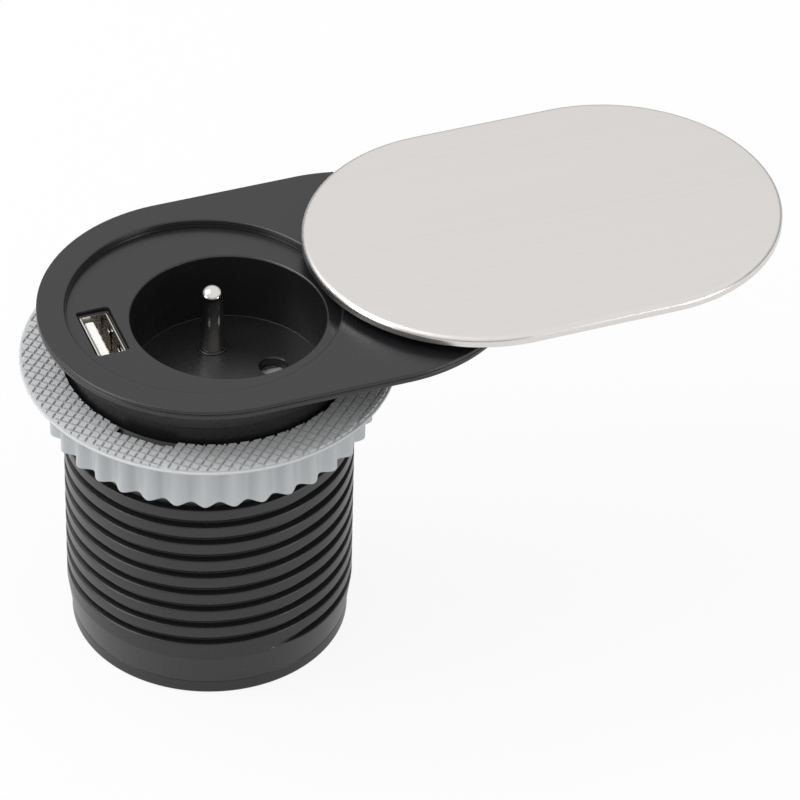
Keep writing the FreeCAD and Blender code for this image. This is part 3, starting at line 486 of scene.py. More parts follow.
def new_material(name):
    material = bpy.data.materials.new(name)
    material.use_nodes = True
    material.node_tree.nodes.clear()
    return material, material.node_tree


def set_surface(material, **inputs):
    """The material's one shader, with inputs named as its sockets, underscores for spaces."""
    tree = material.node_tree
    named = {name.replace("_", " "): value for name, value in inputs.items()}
    shader = add_node(tree, "ShaderNodeBsdfPrincipled", named)
    add_node(tree, "ShaderNodeOutputMaterial", {"Surface": shader.outputs["BSDF"]})
    return material


def speckle(tree, size, stretch_by=(1, 1, 1), detail=3.0):
    """Noise with features of one size in millimetres, drawn out along an axis if asked."""
    place = add_node(tree, "ShaderNodeTexCoord")
    scaled = add_node(tree, "ShaderNodeMapping", {
        "Vector": place.outputs["Object"], "Scale": [1 / factor for factor in stretch_by]})
    return add_node(tree, "ShaderNodeTexNoise", {
        "Vector": scaled.outputs["Vector"], "Scale": per_metre(size), "Detail": detail}).outputs["Fac"]


def blend_colours(tree, factor, dark, light):
    """A colour between two, led by a factor."""
    mix = add_node(tree, "ShaderNodeMix", {0: factor, 6: dark, 7: light}, data_type="RGBA")
    return mix.outputs[2]


def shaded(base, factor):
    """A colour made darker or lighter by a factor."""
    return [min(1.0, channel * factor) for channel in base[:3]] + [1.0]


def between(tree, factor, low, high):
    """A number between two, led by a factor from 0.3 to 0.7, where noise mostly lies."""
    return add_node(tree, "ShaderNodeMapRange", {
        "Value": factor, "From Min": 0.3, "From Max": 0.7, "To Min": low, "To Max": high}).outputs["Result"]


def relief(tree, height, depth):
    """A bumped normal whose height is depth millimetres."""
    return add_node(tree, "ShaderNodeBump", {
        "Height": height, "Distance": depth * MM, "Strength": 1.0}).outputs["Normal"]


def moulded_plastic(name, base, roughness, grain=0.22, depth=0.004, contrast=0.06):
    """A moulded plastic: an even colour with a faint flow mottle and the fine grain of the tool."""
    material, tree = new_material(name)
    flow_size, blur = 7.0, 0.04
    flow = speckle(tree, flow_size)
    grit = speckle(tree, grain)
    return set_surface(
        material,
        Base_Color=blend_colours(tree, flow, shaded(base, 1 - contrast), shaded(base, 1 + contrast)),
        Roughness=between(tree, grit, roughness - blur, roughness + blur),
        IOR=1.53,
        Normal=relief(tree, grit, depth),
    )


def brushed_steel(name, base):
    """Stainless steel drawn over a belt: fine straight lines along the lid and a soft sheen."""
    material, tree = new_material(name)
    # The belt's scratches are about 0.05 mm apart. They are drawn 0.25 mm apart so that they show.
    scratches = speckle(tree, 0.25, stretch_by=(900, 1, 1), detail=2.0)
    return set_surface(
        material,
        Base_Color=blend_colours(tree, scratches, shaded(base, 0.95), shaded(base, 1.04)),
        Metallic=1.0,
        Roughness=between(tree, scratches, 0.28, 0.33),
        Normal=relief(tree, scratches, 0.00015),
    )


def plated_metal(name, base, roughness):
    """A plated or bare metal: a clean reflection broken by faint tool marks."""
    material, tree = new_material(name)
    mark_size = 0.25
    marks = speckle(tree, mark_size)
    return set_surface(
        material,
        Base_Color=blend_colours(tree, marks, shaded(base, 0.95), shaded(base, 1.03)),
        Metallic=1.0,
        Roughness=between(tree, marks, roughness * 0.85, roughness * 1.15),
        Normal=relief(tree, marks, 0.0008),
    )


def enamelled_winding(name, base, wire):
    """Enamelled copper wire laid in close turns: glossy bands one wire apart, darkened to half between the
    turns as painted shade.
    """
    material, tree = new_material(name)
    place = add_node(tree, "ShaderNodeTexCoord").outputs["Object"]
    # At a scale of 1 a wave goes through 20 radians in a metre, so pi / 10 sets its bands one wire apart.
    bands = add_node(tree, "ShaderNodeTexWave", {
        "Vector": place, "Scale": per_metre(wire) * math.pi / 10}, bands_direction="Z")
    return set_surface(
        material,
        # The colour drops to half in each band's dark part: painted shade in the creases between the turns.
        Base_Color=blend_colours(tree, bands.outputs["Fac"], shaded(base, 0.5), base),
        Metallic=0.7,
        Roughness=0.3,
        Normal=relief(tree, bands.outputs["Fac"], wire / 3),
    )


def circuit_board(name, base, track):
    """Glass-fibre board under green lacquer, with copper tracks that show through it."""
    material, tree = new_material(name)
    place = add_node(tree, "ShaderNodeTexCoord").outputs["Object"]
    tracks = add_node(tree, "ShaderNodeTexBrick", {
        "Vector": place, "Color1": [0, 0, 0, 1], "Color2": [0, 0, 0, 1], "Mortar": [1, 1, 1, 1],
        "Scale": 1.0, "Mortar Size": 0.18 * MM, "Brick Width": 3.1 * MM, "Row Height": 1.7 * MM})
    return set_surface(
        material,
        Base_Color=blend_colours(tree, tracks.outputs["Fac"], base, track),
        Roughness=0.3,
        Normal=relief(tree, tracks.outputs["Fac"], 0.03),
    )


MADE = {}


def material_for(finish):
    """One of the object's materials, made when it is first asked for."""
    colours = bpy.context.scene.socket_colours
    recipes = {
        # Injection-moulded ABS from a spark-eroded tool: deep black with a satin sheen.
        "black_abs": lambda: moulded_plastic("moulded ABS", colours.abs_black, 0.30),
        # Moulded acetal, a little waxy: a softer sheen than that of the ABS.
        "black_pom": lambda: moulded_plastic("moulded acetal", linear("#1b1b1c"), 0.35),
        # Deep-drawn stainless sheet, brushed along its length after drawing: a pale, warm silver.
        "lid_metal": lambda: brushed_steel("brushed stainless steel", colours.steel),
        # Moulded polyamide, as it comes from the tool: pale grey and half matt.
        "nut_grey": lambda: moulded_plastic("moulded polyamide", colours.nut, 0.42, contrast=0.02),
        # Soft rubber moulded in a grid of blocks: matt, so that only their shade draws them.
        "grip_grey": lambda: moulded_plastic("moulded rubber grip", colours.washer, 0.6,
                                             grain=0.3, depth=0.01, contrast=0.03),
        # Turned brass with a bright nickel plate: a clear reflection, dark where it faces the well.
        "nickel": lambda: plated_metal("bright nickel plate", linear("#dcd9d4"), 0.10),
        # Folded spring steel with a tin plate: bright, and slightly blurred by the rolling.
        "port_steel": lambda: plated_metal("tinned spring steel", linear("#d2cfca"), 0.2),
        # Stamped brass strip: warm, with the sheen of rolled metal.
        "brass": lambda: plated_metal("stamped brass", linear("#c9a65c"), 0.28),
        # Bronze springs with a thin gold plate, the one warm glint in the port.
        "gold": lambda: plated_metal("gold-plated bronze", linear("#cdb27c"), 0.2),
        # Headed screws and springs with a zinc plate: bluish and half matt.
        "steel": lambda: plated_metal("zinc-plated steel", linear("#b9bcbf"), 0.32),
        # Moulded nylon: white and half matt.
        "port_white": lambda: moulded_plastic("moulded nylon", colours.tongue, 0.4, contrast=0.01),
        # Acetal coloured grey in the mass: smooth, with a soft sheen.
        "shutter_grey": lambda: moulded_plastic("moulded grey acetal", colours.shutter, 0.35),
        # Thermoset polyester pressed in a mould: an off-white that looks a little like glaze.
        "block_white": lambda: moulded_plastic("moulded polyester", linear("#dedbd2"), 0.45, contrast=0.02),
        # Glass-fibre laminate under a screen-printed lacquer: glossy green, tracks showing through.
        "board_green": lambda: circuit_board("lacquered circuit board",
                                             linear("#1d5a38"), linear("#4f8a4a")),
        # Copper wire with a baked enamel, wound in layers: glossy and red-brown.
        "copper": lambda: enamelled_winding("enamelled copper wire", linear("#b8652c"), 0.4),
        # Pressed and sintered ferrite: dark grey and matt, with a fine grit.
        "ferrite": lambda: moulded_plastic("sintered ferrite", linear("#3b3b3d"), 0.75,
                                           grain=0.15, depth=0.01),
        # A PVC sleeve shrunk over an aluminium can: smooth and slightly glossy.
        "can_black": lambda: moulded_plastic("shrunk PVC sleeve", linear("#1a1b20"), 0.3),
        # Filled epoxy moulded over a chip: matt, with a very fine grit.
        "chip_black": lambda: moulded_plastic("moulded epoxy", linear("#18181a"), 0.5,
                                              grain=0.1, depth=0.006),
        # Moulded rubber: matt black with a soft grain.
        "bush_rubber": lambda: moulded_plastic("moulded rubber", linear("#1d1d1e"), 0.7,
                                               grain=0.2, depth=0.008),
    }
    if finish not in MADE:
        MADE[finish] = recipes[finish]()
    return MADE[finish]


class SOCKET_OT_base_shell(bpy.types.Operator):
    """Model the threaded shell that goes through the worktop"""

    bl_idname = "socket.base_shell"
    bl_label = "Base shell"

    def execute(self, context):
        sizes = context.scene.shell_sizes
        plate = context.scene.plate_sizes
        ledge = context.scene.insert_sizes.disc_under
        shell = self.threaded_wall(sizes)
        self.extend_ends(shell, sizes)
        seat = turned("seat", [(sizes.seat_radius, FLANGE_TOP), (sizes.seat_radius, ledge)],
                      centre=(plate.opening_shift, 0))
        bore = turned("bore", [(sizes.bore_radius, ledge), (sizes.bore_radius, SHELL_LOW.z)])
        join(shell, self.drilled_flange(sizes, plate), seat, bore)
        close_rims(shell, 0, FLANGE_TOP, ledge, SHELL_LOW.z, ring=True)
        finish_piece(shell, "base", "base_shell", "black_abs")
        return {"FINISHED"}

    def drilled_flange(self, sizes, plate):
        """The flange on its own, drilled from below for the lid's keeper screws, open in the middle."""
        flange = turned("flange", [
            (PLATE_RADIUS - PAST, 0), (PLATE_RADIUS, 0, plate.outer_edge),
            (PLATE_RADIUS, FLANGE_TOP, plate.joint_edge), (PLATE_RADIUS - PAST, FLANGE_TOP),
        ], arc_steps=3)
        stretch(flange, 0, PLATE_SPAN)
        close_rims(flange, 0, FLANGE_TOP)
        way = sizes.crest_radius + PAST
        holes = [turned("way", [
            (0, -PAST), (way, -PAST), (way, FLANGE_TOP + PAST), (0, FLANGE_TOP + PAST)])]
        sink_mouth, sink_foot, sink_depth = 3.4 * MM, 1.25 * MM, 1.05 * MM
        holes += [turned("keeper_hole", [
            (0, -PAST), (sink_mouth, -PAST), (sink_foot, sink_depth), (0, sink_depth),
        ], centre=(x, 0), steps=SMALL_STEPS) for x in keeper_places()]
        for hole in holes:
            carve(flange, hole)
        with editing(flange):
            pick("faces", lambda face: all(abs(v.co.xy.length - way) < LEVEL_MATCH for v in face.verts))
            bpy.ops.mesh.delete(type="FACE")
        return flange

    def threaded_wall(self, sizes):
        """The outside of the thread, wound up from one turn of its outline."""
        half = sizes.pitch / 2
        mouth = sizes.groove_mouth / 2
        floor = sizes.groove_floor / 2
        outline = rounded([
            (sizes.crest_radius, -half), (sizes.crest_radius, -mouth - sizes.lip / 2, sizes.lip),
            (sizes.root_radius, -floor, sizes.lip / 2), (sizes.root_radius, floor, sizes.lip / 2),
            (sizes.crest_radius, mouth + sizes.lip / 2, sizes.lip), (sizes.crest_radius, half),
        ], steps=3)
        turns_below = 2
        turns = turns_below + 1 + math.ceil((sizes.thread_top - sizes.groove_level) / sizes.pitch)
        start = sizes.groove_level - turns_below * sizes.pitch
        wall = draw_line("threaded_shell", [(radius, 0, start + level) for radius, level in outline])
        wind(wall, sizes.pitch, turns, THREAD_STEPS)
        wall.rotation_euler.z = sizes.groove_angle
        apply_place(wall)
        with editing(wall):
            weld()
            self.fade_groove(sizes)
        return wall

    def fade_groove(self, sizes):
        """Lets the groove run out at both ends, and leaves the wall plain beyond them."""
        last = (sizes.thread_top - sizes.groove_level - sizes.groove_mouth) / sizes.pitch
        fade = sizes.run_out / math.tau
        narrowest = 0.4
        for vert in edited_shape().verts:
            turned_by = (math.atan2(vert.co.y, vert.co.x) - sizes.groove_angle) / math.tau
            whole = round((vert.co.z - sizes.groove_level) / sizes.pitch - turned_by)
            turns = turned_by + whole
            share = min(1.0, max(0.0, min(turns, last - turns) / fade))
            share = share * share * (3 - 2 * share)
            radius = math.hypot(vert.co.x, vert.co.y)
            wanted = sizes.crest_radius - (sizes.crest_radius - radius) * share
            middle = sizes.groove_level + sizes.pitch * turns
            offset = vert.co.z - middle
            if abs(offset) < sizes.groove_mouth / 2 + sizes.lip * 2:
                offset *= narrowest + (1 - narrowest) * share
            vert.co = Vector((vert.co.x * wanted / radius, vert.co.y * wanted / radius, middle + offset))
        bmesh.update_edit_mesh(bpy.context.edit_object.data)

    def extend_ends(self, wall, sizes):
        """Cuts the wall level at both ends and carries it on as the neck and the tapered band."""
        crest, waist = sizes.crest_radius, sizes.relief_radius
        slope = crest - waist
        lap = 0.6 * MM
        neck = rounded([
            (crest, sizes.thread_top), (waist, sizes.thread_top + slope),
            (waist, sizes.neck_end - slope), (crest, sizes.neck_end, 0.15 * MM), (crest, 0, SOFT_EDGE),
            (crest + lap, 0),
        ], steps=3)
        band_radius = CAP_HIGH.y
        band = rounded([
            (crest, sizes.band_top), (band_radius, SHELL_LOW.z, CAP_JOINT_EDGE),
            (band_radius - lap, SHELL_LOW.z),
        ], steps=3)
        with editing(wall):
            slice_whole((0, 0, sizes.thread_top), (0, 0, 1), clear_outer=True)
            extend_rim(neck)
            slice_whole((0, 0, sizes.band_top), (0, 0, 1), clear_inner=True)
            extend_rim(band)


def peg_places():
    """The pegs round the flange: three at the socket's end, two at the lid's end."""
    ring = PLATE_RADIUS - 2.3 * MM
    ends = ((0, (130, 180, 230)), (PLATE_SPAN, (60, -60)))
    return [(along + ring * math.cos(math.radians(angle)), ring * math.sin(math.radians(angle)))
            for along, angles in ends for angle in angles]


def keeper_places():
    """Where the two keeper screws stand along the plate."""
    low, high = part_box("keeper_screws")
    head = high.y
    return [low.x + head, high.x - head]


class SOCKET_OT_face_plate(bpy.types.Operator):
    """Model the face plate with its round opening"""

    bl_idname = "socket.face_plate"
    bl_label = "Face plate"

    def execute(self, context):
        sizes = context.scene.plate_sizes
        outside = turned("top_plate", [
            (PLATE_RADIUS - PAST, FLANGE_TOP), (PLATE_RADIUS, FLANGE_TOP, sizes.joint_edge),
            (PLATE_RADIUS, PLATE_TOP, sizes.outer_edge), (PLATE_RADIUS - PAST, PLATE_TOP),
        ], arc_steps=4)
        stretch(outside, 0, PLATE_SPAN)
        collar_radius = INSERT_HIGH.y
        collar_end = max(PLATE_LOW.z, INSERT_HIGH.z)
        opening = turned("opening", [
            (sizes.opening_radius + PAST, PLATE_TOP),
            (sizes.opening_radius, PLATE_TOP, sizes.opening_edge),
            (sizes.throat_radius, collar_end, FINE_EDGE), (collar_radius, collar_end),
            (collar_radius, FLANGE_TOP),
        ], centre=(sizes.opening_shift, 0))
        plate = join(outside, opening)
        close_rims(plate, PLATE_TOP, FLANGE_TOP, ring=True)
        radius, foot, head = 1 * MM, 0.1 * MM, FLANGE_TOP + 0.1 * MM
        join(plate, *[turned("peg", [
            (0, foot), (radius, foot, CRISP_EDGE), (radius, head), (0, head),
        ], centre=place, steps=SMALL_STEPS) for place in peg_places()])
        finish_piece(plate, "base", "face_plate", "black_abs")
        return {"FINISHED"}


class SOCKET_OT_socket_insert(bpy.types.Operator):
    """Model the insert with the plug well, its holes and the port's pocket"""

    bl_idname = "socket.socket_insert"
    bl_label = "Socket insert"

    def execute(self, context):
        sizes = context.scene.insert_sizes
        top = INSERT_HIGH.z
        well = (sizes.well_across, sizes.well_back)
        under = sizes.disc_under
        disc_radius = INSERT_HIGH.y
        disc_inner = disc_radius - 0.5 * MM
        cup_radius = sizes.well_radius + sizes.wall
        disc = turned("plug_insert", [
            (disc_inner, top), (disc_radius, top), (disc_radius, under), (disc_inner, under),
        ], centre=(context.scene.plate_sizes.opening_shift, 0))
        inside = turned("well", [
            (sizes.well_radius + 2 * sizes.well_lip, top), (sizes.well_radius, top, sizes.well_lip),
            (sizes.well_radius, sizes.well_floor, FINE_EDGE),
            (sizes.well_radius - PAST, sizes.well_floor),
        ], centre=well)
        outside = turned("cup", [
            (cup_radius, under), (cup_radius, INSERT_LOW.z, SOFT_EDGE),
            (cup_radius - PAST, INSERT_LOW.z),
        ], centre=well)
        insert = join(disc, inside, outside)
        close_rims(insert, top, under, ring=True)
        close_rims(insert, sizes.well_floor, INSERT_LOW.z)
        self.cut_pin_holes(insert, sizes)
        self.cut_port_pocket(insert, sizes, top)
        self.raise_pin_collar(insert, sizes)
        finish_piece(insert, "base", "socket_insert", "black_abs")
        return {"FINISHED"}

    def cut_pin_holes(self, insert, sizes):
        rim = BROKEN_EDGE
        for side in (-1, 1):
            x = sizes.well_across + side * sizes.hole_spacing / 2
            carve(insert, turned("pin_hole", [
                (0, sizes.well_floor + rim), (sizes.hole_radius + rim * 2, sizes.well_floor + rim),
                (sizes.hole_radius, sizes.well_floor - rim, rim),
                (sizes.hole_radius, INSERT_LOW.z - rim), (0, INSERT_LOW.z - rim),
            ], centre=(x, sizes.well_back), steps=SMALL_STEPS * 2))

    def raise_pin_collar(self, insert, sizes):
        """The low moulded ring that the earth pin stands in."""
        middle = (PIN_LOW + PIN_HIGH) / 2
        radius = PIN_HIGH.y - middle.y
        inner = PIN_RADIUS + 0.02 * MM
        low, high = sizes.well_floor - 0.5 * MM, sizes.well_floor + 0.25 * MM
        join(insert, turned("collar", [
            (inner, low), (radius, low), (radius, high, CRISP_EDGE), (inner, high, FINE_EDGE), (inner, low),
        ], centre=(middle.x, middle.y), steps=SMALL_STEPS * 2))

    def cut_port_pocket(self, insert, sizes, top):
        middle = (PORT_LOW + PORT_HIGH) / 2
        half = Vector((sizes.pocket_width / 2, sizes.pocket_length / 2, 0))
        depth = Vector((0, 0, sizes.pocket_depth))
        face = Vector((middle.x, middle.y, top))
        carve(insert, soft_box("pocket", face - half - depth, face + half + Vector((0, 0, PAST)),
                               BROKEN_EDGE, steps=3, corner=0.9 * MM))
        gap = Vector((0.15 * MM, 0.15 * MM, 0))
        low = Vector((PORT_LOW.x, PORT_LOW.y, sizes.disc_under - PAST)) - gap
        high = Vector((PORT_HIGH.x, PORT_HIGH.y, top - sizes.pocket_depth + 0.5 * MM)) + gap
        carve(insert, soft_box("port_way", low, high, 0))


class SOCKET_OT_earth_pin(bpy.types.Operator):
    """Model the earth pin with its domed end"""

    bl_idname = "socket.earth_pin"
    bl_label = "Earth pin"

    def execute(self, context):
        middle = (PIN_LOW + PIN_HIGH) / 2
        floor = context.scene.insert_sizes.well_floor
        shank = 1.9 * MM
        shoulder = floor - 0.5 * MM
        dome = 0.92 * PIN_RADIUS
        pin = turned("earth_post", [
            (0, PIN_LOW.z), (shank, PIN_LOW.z, SOFT_EDGE), (shank, shoulder), (PIN_RADIUS, shoulder),
            (PIN_RADIUS, PIN_HIGH.z, dome), (0, PIN_HIGH.z),
        ], centre=(middle.x, middle.y), steps=64, arc_steps=10)
        finish_piece(pin, "base", "earth_pin", "nickel")
        return {"FINISHED"}


class SOCKET_OT_charging_port(bpy.types.Operator):
    """Model the charging port: its steel shell, tongue and contacts"""

    bl_idname = "socket.charging_port"
    bl_label = "Charging port"

    def execute(self, context):
        self.model_shell()
        self.model_tongue()
        paint(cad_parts["usb_contacts"], "brass", "gold")
        return {"FINISHED"}

    def model_shell(self):
        """A folded steel tube with two sprung fingers in its long wall."""
        wall = Vector((0.3 * MM, 0.3 * MM, 0))
        through = Vector((0, 0, PAST))
        shell = soft_box("port_shell", PORT_LOW, PORT_HIGH, 0.13 * MM)
        carve(shell, soft_box("inside", PORT_LOW + wall - through, PORT_HIGH - wall + through, 0))
        from_middle = 3.3 * MM
        bend_below, bend = 6 * MM, 0.35 * MM
        for side in (-1, 1):
            across = (PORT_LOW.y + PORT_HIGH.y) / 2 + side * from_middle
            mouth = Vector((PORT_HIGH.x, across, PORT_HIGH.z))
            carve(shell, soft_box("window", mouth + Vector((-0.6, -0.9, -7.0)) * MM,
                                  mouth + Vector((0.3, 0.9, -1.6)) * MM, 0))
            finger = soft_box("finger", mouth + Vector((-0.75, -0.6, -6.9)) * MM,
                              mouth + Vector((-0.45, 0.6, -2.0)) * MM, FINE_EDGE)
            with editing(finger):
                pick("verts", lambda vert: vert.co.z < PORT_HIGH.z - bend_below)
                bpy.ops.transform.translate(value=(bend, 0, 0))
            join(shell, finger)
        finish_piece(shell, "base", "usb_shell", "steel", "port_steel")

    def model_tongue(self):
        """The insulator: a block at the bottom, and the blade that carries the contacts."""
        block_top = PORT_LOW.z + 4 * MM
        tongue = soft_box("port_tongue", TONGUE_LOW, (TONGUE_HIGH.x, TONGUE_HIGH.y, block_top), CRISP_EDGE)
        back, side, sunk, thickness = 0.5 * MM, 0.65 * MM, 0.3 * MM, 1.84 * MM
        blade_low = Vector((TONGUE_LOW.x + back, TONGUE_LOW.y + side, block_top - sunk))
        blade_high = Vector((blade_low.x + thickness, TONGUE_HIGH.y - side, TONGUE_HIGH.z))
        carve(tongue, soft_box("blade", blade_low, blade_high, BROKEN_EDGE, steps=3), "UNION")
        finish_piece(tongue, "base", "usb_tongue", "port_white")


class SOCKET_OT_lid(bpy.types.Operator):
    """Model the brushed lid with its rounded edge"""

    bl_idname = "socket.lid"
    bl_label = "Lid"

    def execute(self, context):
        sizes = context.scene.lid_sizes
        top, rim = LID_HIGH.z, LID_LOW.z
        ceiling = top - sizes.wall
        inner = LID_RADIUS - sizes.wall
        lid = turned("steel_lid", [
            (inner - PAST, ceiling), (inner, ceiling, CRISP_EDGE), (inner, rim, 0.12 * MM),
            (LID_RADIUS, rim, CRISP_EDGE), (LID_RADIUS, top, sizes.edge),
            (LID_RADIUS - sizes.edge * 1.6, top),
        ], centre=(LID_START, 0), steps=192, arc_steps=8)
        stretch(lid, LID_START, LID_HIGH.x - LID_RADIUS - LID_START)
        close_rims(lid, top, ceiling)
        finish_piece(lid, "lid", "lid_cover", "lid_metal")
        paint_nodes({"lid_carrier": "black_pom", "keeper_studs": "steel", "keeper_screws": "steel"})
        return {"FINISHED"}


class SOCKET_OT_clamp_nut(bpy.types.Operator):
    """Model the clamping nut with its wavy grip"""

    bl_idname = "socket.clamp_nut"
    bl_label = "Clamping nut"

    def execute(self, context):
        sizes = context.scene.grip_sizes
        shoulder = NUT_HIGH.z - sizes.flange_thickness
        grip = self.wavy_rim(sizes, shoulder)
        with editing(grip, "EDGE"):
            select_whole()
            extrude_by((0, 0, NUT_LOW.z - shoulder))
            extrude_by((0, 0, 0))
            lower_face = 1.2 * MM
            widen((sizes.grip_radius - lower_face) / sizes.grip_radius)
            outer_part = sizes.grip_radius - sizes.grip_depth - 0.2 * MM
            pick("edges", lambda e: len(e.link_faces) == 2 and all(
                abs(v.co.z - NUT_LOW.z) < LEVEL_MATCH and v.co.xy.length > outer_part for v in e.verts))
            bpy.ops.mesh.bevel(offset=sizes.grip_edge, segments=4, affect="EDGES")
        flange_radius = NUT_HIGH.y
        flange = turned("flange", [
            (flange_radius - PAST, shoulder), (flange_radius, shoulder, BROKEN_EDGE),
            (flange_radius, NUT_HIGH.z, BROKEN_EDGE), (sizes.bore_radius + sizes.lead_in, NUT_HIGH.z),
            (sizes.bore_radius, NUT_HIGH.z - 3 * sizes.lead_in),
            (sizes.bore_radius, NUT_LOW.z, SOFT_EDGE), (sizes.bore_radius + 0.6 * MM, NUT_LOW.z),
        ])
        nut = join(grip, flange)
        close_rims(nut, shoulder, NUT_LOW.z, ring=True)
        join(nut, self.inner_thread(context))
        finish_piece(nut, "nut", "clamp_nut", "nut_grey", sharp=40)
        return {"FINISHED"}

    def wavy_rim(self, sizes, level):
        """One ridge and hollow drawn as a curve, and copied right round."""
        middle = sizes.grip_radius - sizes.grip_depth / 2
        points = []
        steps = 14
        for step in range(steps + 1):
            angle = (step / steps - 0.5) * math.tau / sizes.lobes
            radius = middle + sizes.grip_depth / 2 * math.cos(sizes.lobes * angle)
            points.append((radius * math.cos(angle), radius * math.sin(angle), level))
        lobe = draw_line("wavy_nut", points)
        with editing(lobe):
            select_whole()
            bpy.ops.mesh.spin(steps=sizes.lobes, dupli=True, angle=math.tau,
                              center=(0, 0, 0), axis=(0, 0, 1))
            weld()
        return lobe

    def inner_thread(self, context):
        """The ridge inside the nut that runs in the shell's groove."""
        shell = context.scene.shell_sizes
        foot = context.scene.grip_sizes.bore_radius + 0.15 * MM
        tip = shell.root_radius + 0.25 * MM
        foot_half, tip_half = 0.7 * MM, 0.45 * MM
        middle = NUT_LOW.z + 1.6 * MM
        start = math.radians(-85)
        ridge = draw_line("ridge", [(radius, 0, middle + level) for radius, level in (
            (foot, -foot_half), (tip, -tip_half), (tip, tip_half), (foot, foot_half))])
        with editing(ridge):
            select_whole()
            bpy.ops.mesh.edge_face_add()
        wind(ridge, shell.pitch, 2, THREAD_STEPS)
        ridge.rotation_euler.z = start
        apply_place(ridge)
        return ridge


class SOCKET_OT_grip_washer(bpy.types.Operator):
    """Model the non-slip washer with its grid of raised blocks"""

    bl_idname = "socket.grip_washer"
    bl_label = "Grip washer"

    def execute(self, context):
        sizes = context.scene.grip_sizes
        top, under = WASHER_HIGH.z, WASHER_LOW.z
        radius = WASHER_HIGH.y
        bed = top - sizes.block_height
        rim = radius - sizes.washer_rim
        ring = turned("block_washer", [
            (sizes.washer_bore, under), (radius, under, 0.25 * MM),
            (radius, bed + 0.12 * MM, BROKEN_EDGE), (rim, bed, BROKEN_EDGE), (sizes.washer_bore, bed),
            (sizes.washer_bore, under),
        ])
        inner, sunk, over = sizes.washer_bore + 0.02 * MM, bed - 0.05 * MM, top + PAST
        keep = turned("keep", [(inner, sunk), (rim, sunk), (rim, over), (inner, over), (inner, sunk)])
        for part in (ring, keep):
            self.notch_bore(part, sizes)
        blocks = self.raised_grid(sizes, bed + 0.02 * MM, top, radius)
        carve(blocks, keep, "INTERSECT")
        join(ring, blocks)
        finish_piece(ring, "washer", "grip_washer", "grip_grey", sharp=25)
        return {"FINISHED"}

    def notch_bore(self, piece, sizes):
        """Moves part of the bore outwards, between a pair of radial cuts at each end."""
        step = math.radians(0.3)
        first, last = sizes.notch_start, sizes.notch_start + sizes.notch_sweep
        reach = sizes.washer_bore + 0.1 * MM
        with editing(piece):
            for angle in (first - step, first, last, last + step):
                slice_whole((0, 0, 0), (-math.sin(angle), math.cos(angle), 0))
            pick("verts", lambda vert: vert.co.xy.length < reach
                 and first - step / 2 < math.atan2(vert.co.y, vert.co.x) < last + step / 2)
            widen(1 + sizes.notch_depth / sizes.washer_bore)

    def raised_grid(self, sizes, bed, top, radius):
        """A square grid whose cells are inset and raised into blocks with sloping sides."""
        cells = 2 * math.ceil(radius / sizes.block_pitch) + 2
        side = cells * sizes.block_pitch
        deselect()
        bpy.ops.mesh.primitive_grid_add(x_subdivisions=cells, y_subdivisions=cells, size=side,
                                        location=(0, 0, bed), rotation=(0, 0, math.radians(45)))
        grid = name_piece("blocks")
        apply_place(grid)
        slope, skirt = 0.08 * MM, 0.5 * MM
        with editing(grid, "FACE"):
            pick("faces", lambda face: face.calc_center_median().xy.length > radius)
            bpy.ops.mesh.delete(type="FACE")
            select_whole()
            bpy.ops.mesh.inset(thickness=(sizes.block_gap - slope) / 2,
                               use_individual=True, use_boundary=True)
            bpy.ops.mesh.inset(thickness=slope, depth=top - bed, use_individual=True)
        with editing(grid, "EDGE"):
            pick("edges", lambda edge: edge.is_boundary)
            extrude_by((0, 0, -skirt))
            bpy.ops.mesh.edge_face_add()
            clean_mesh()
        return grid


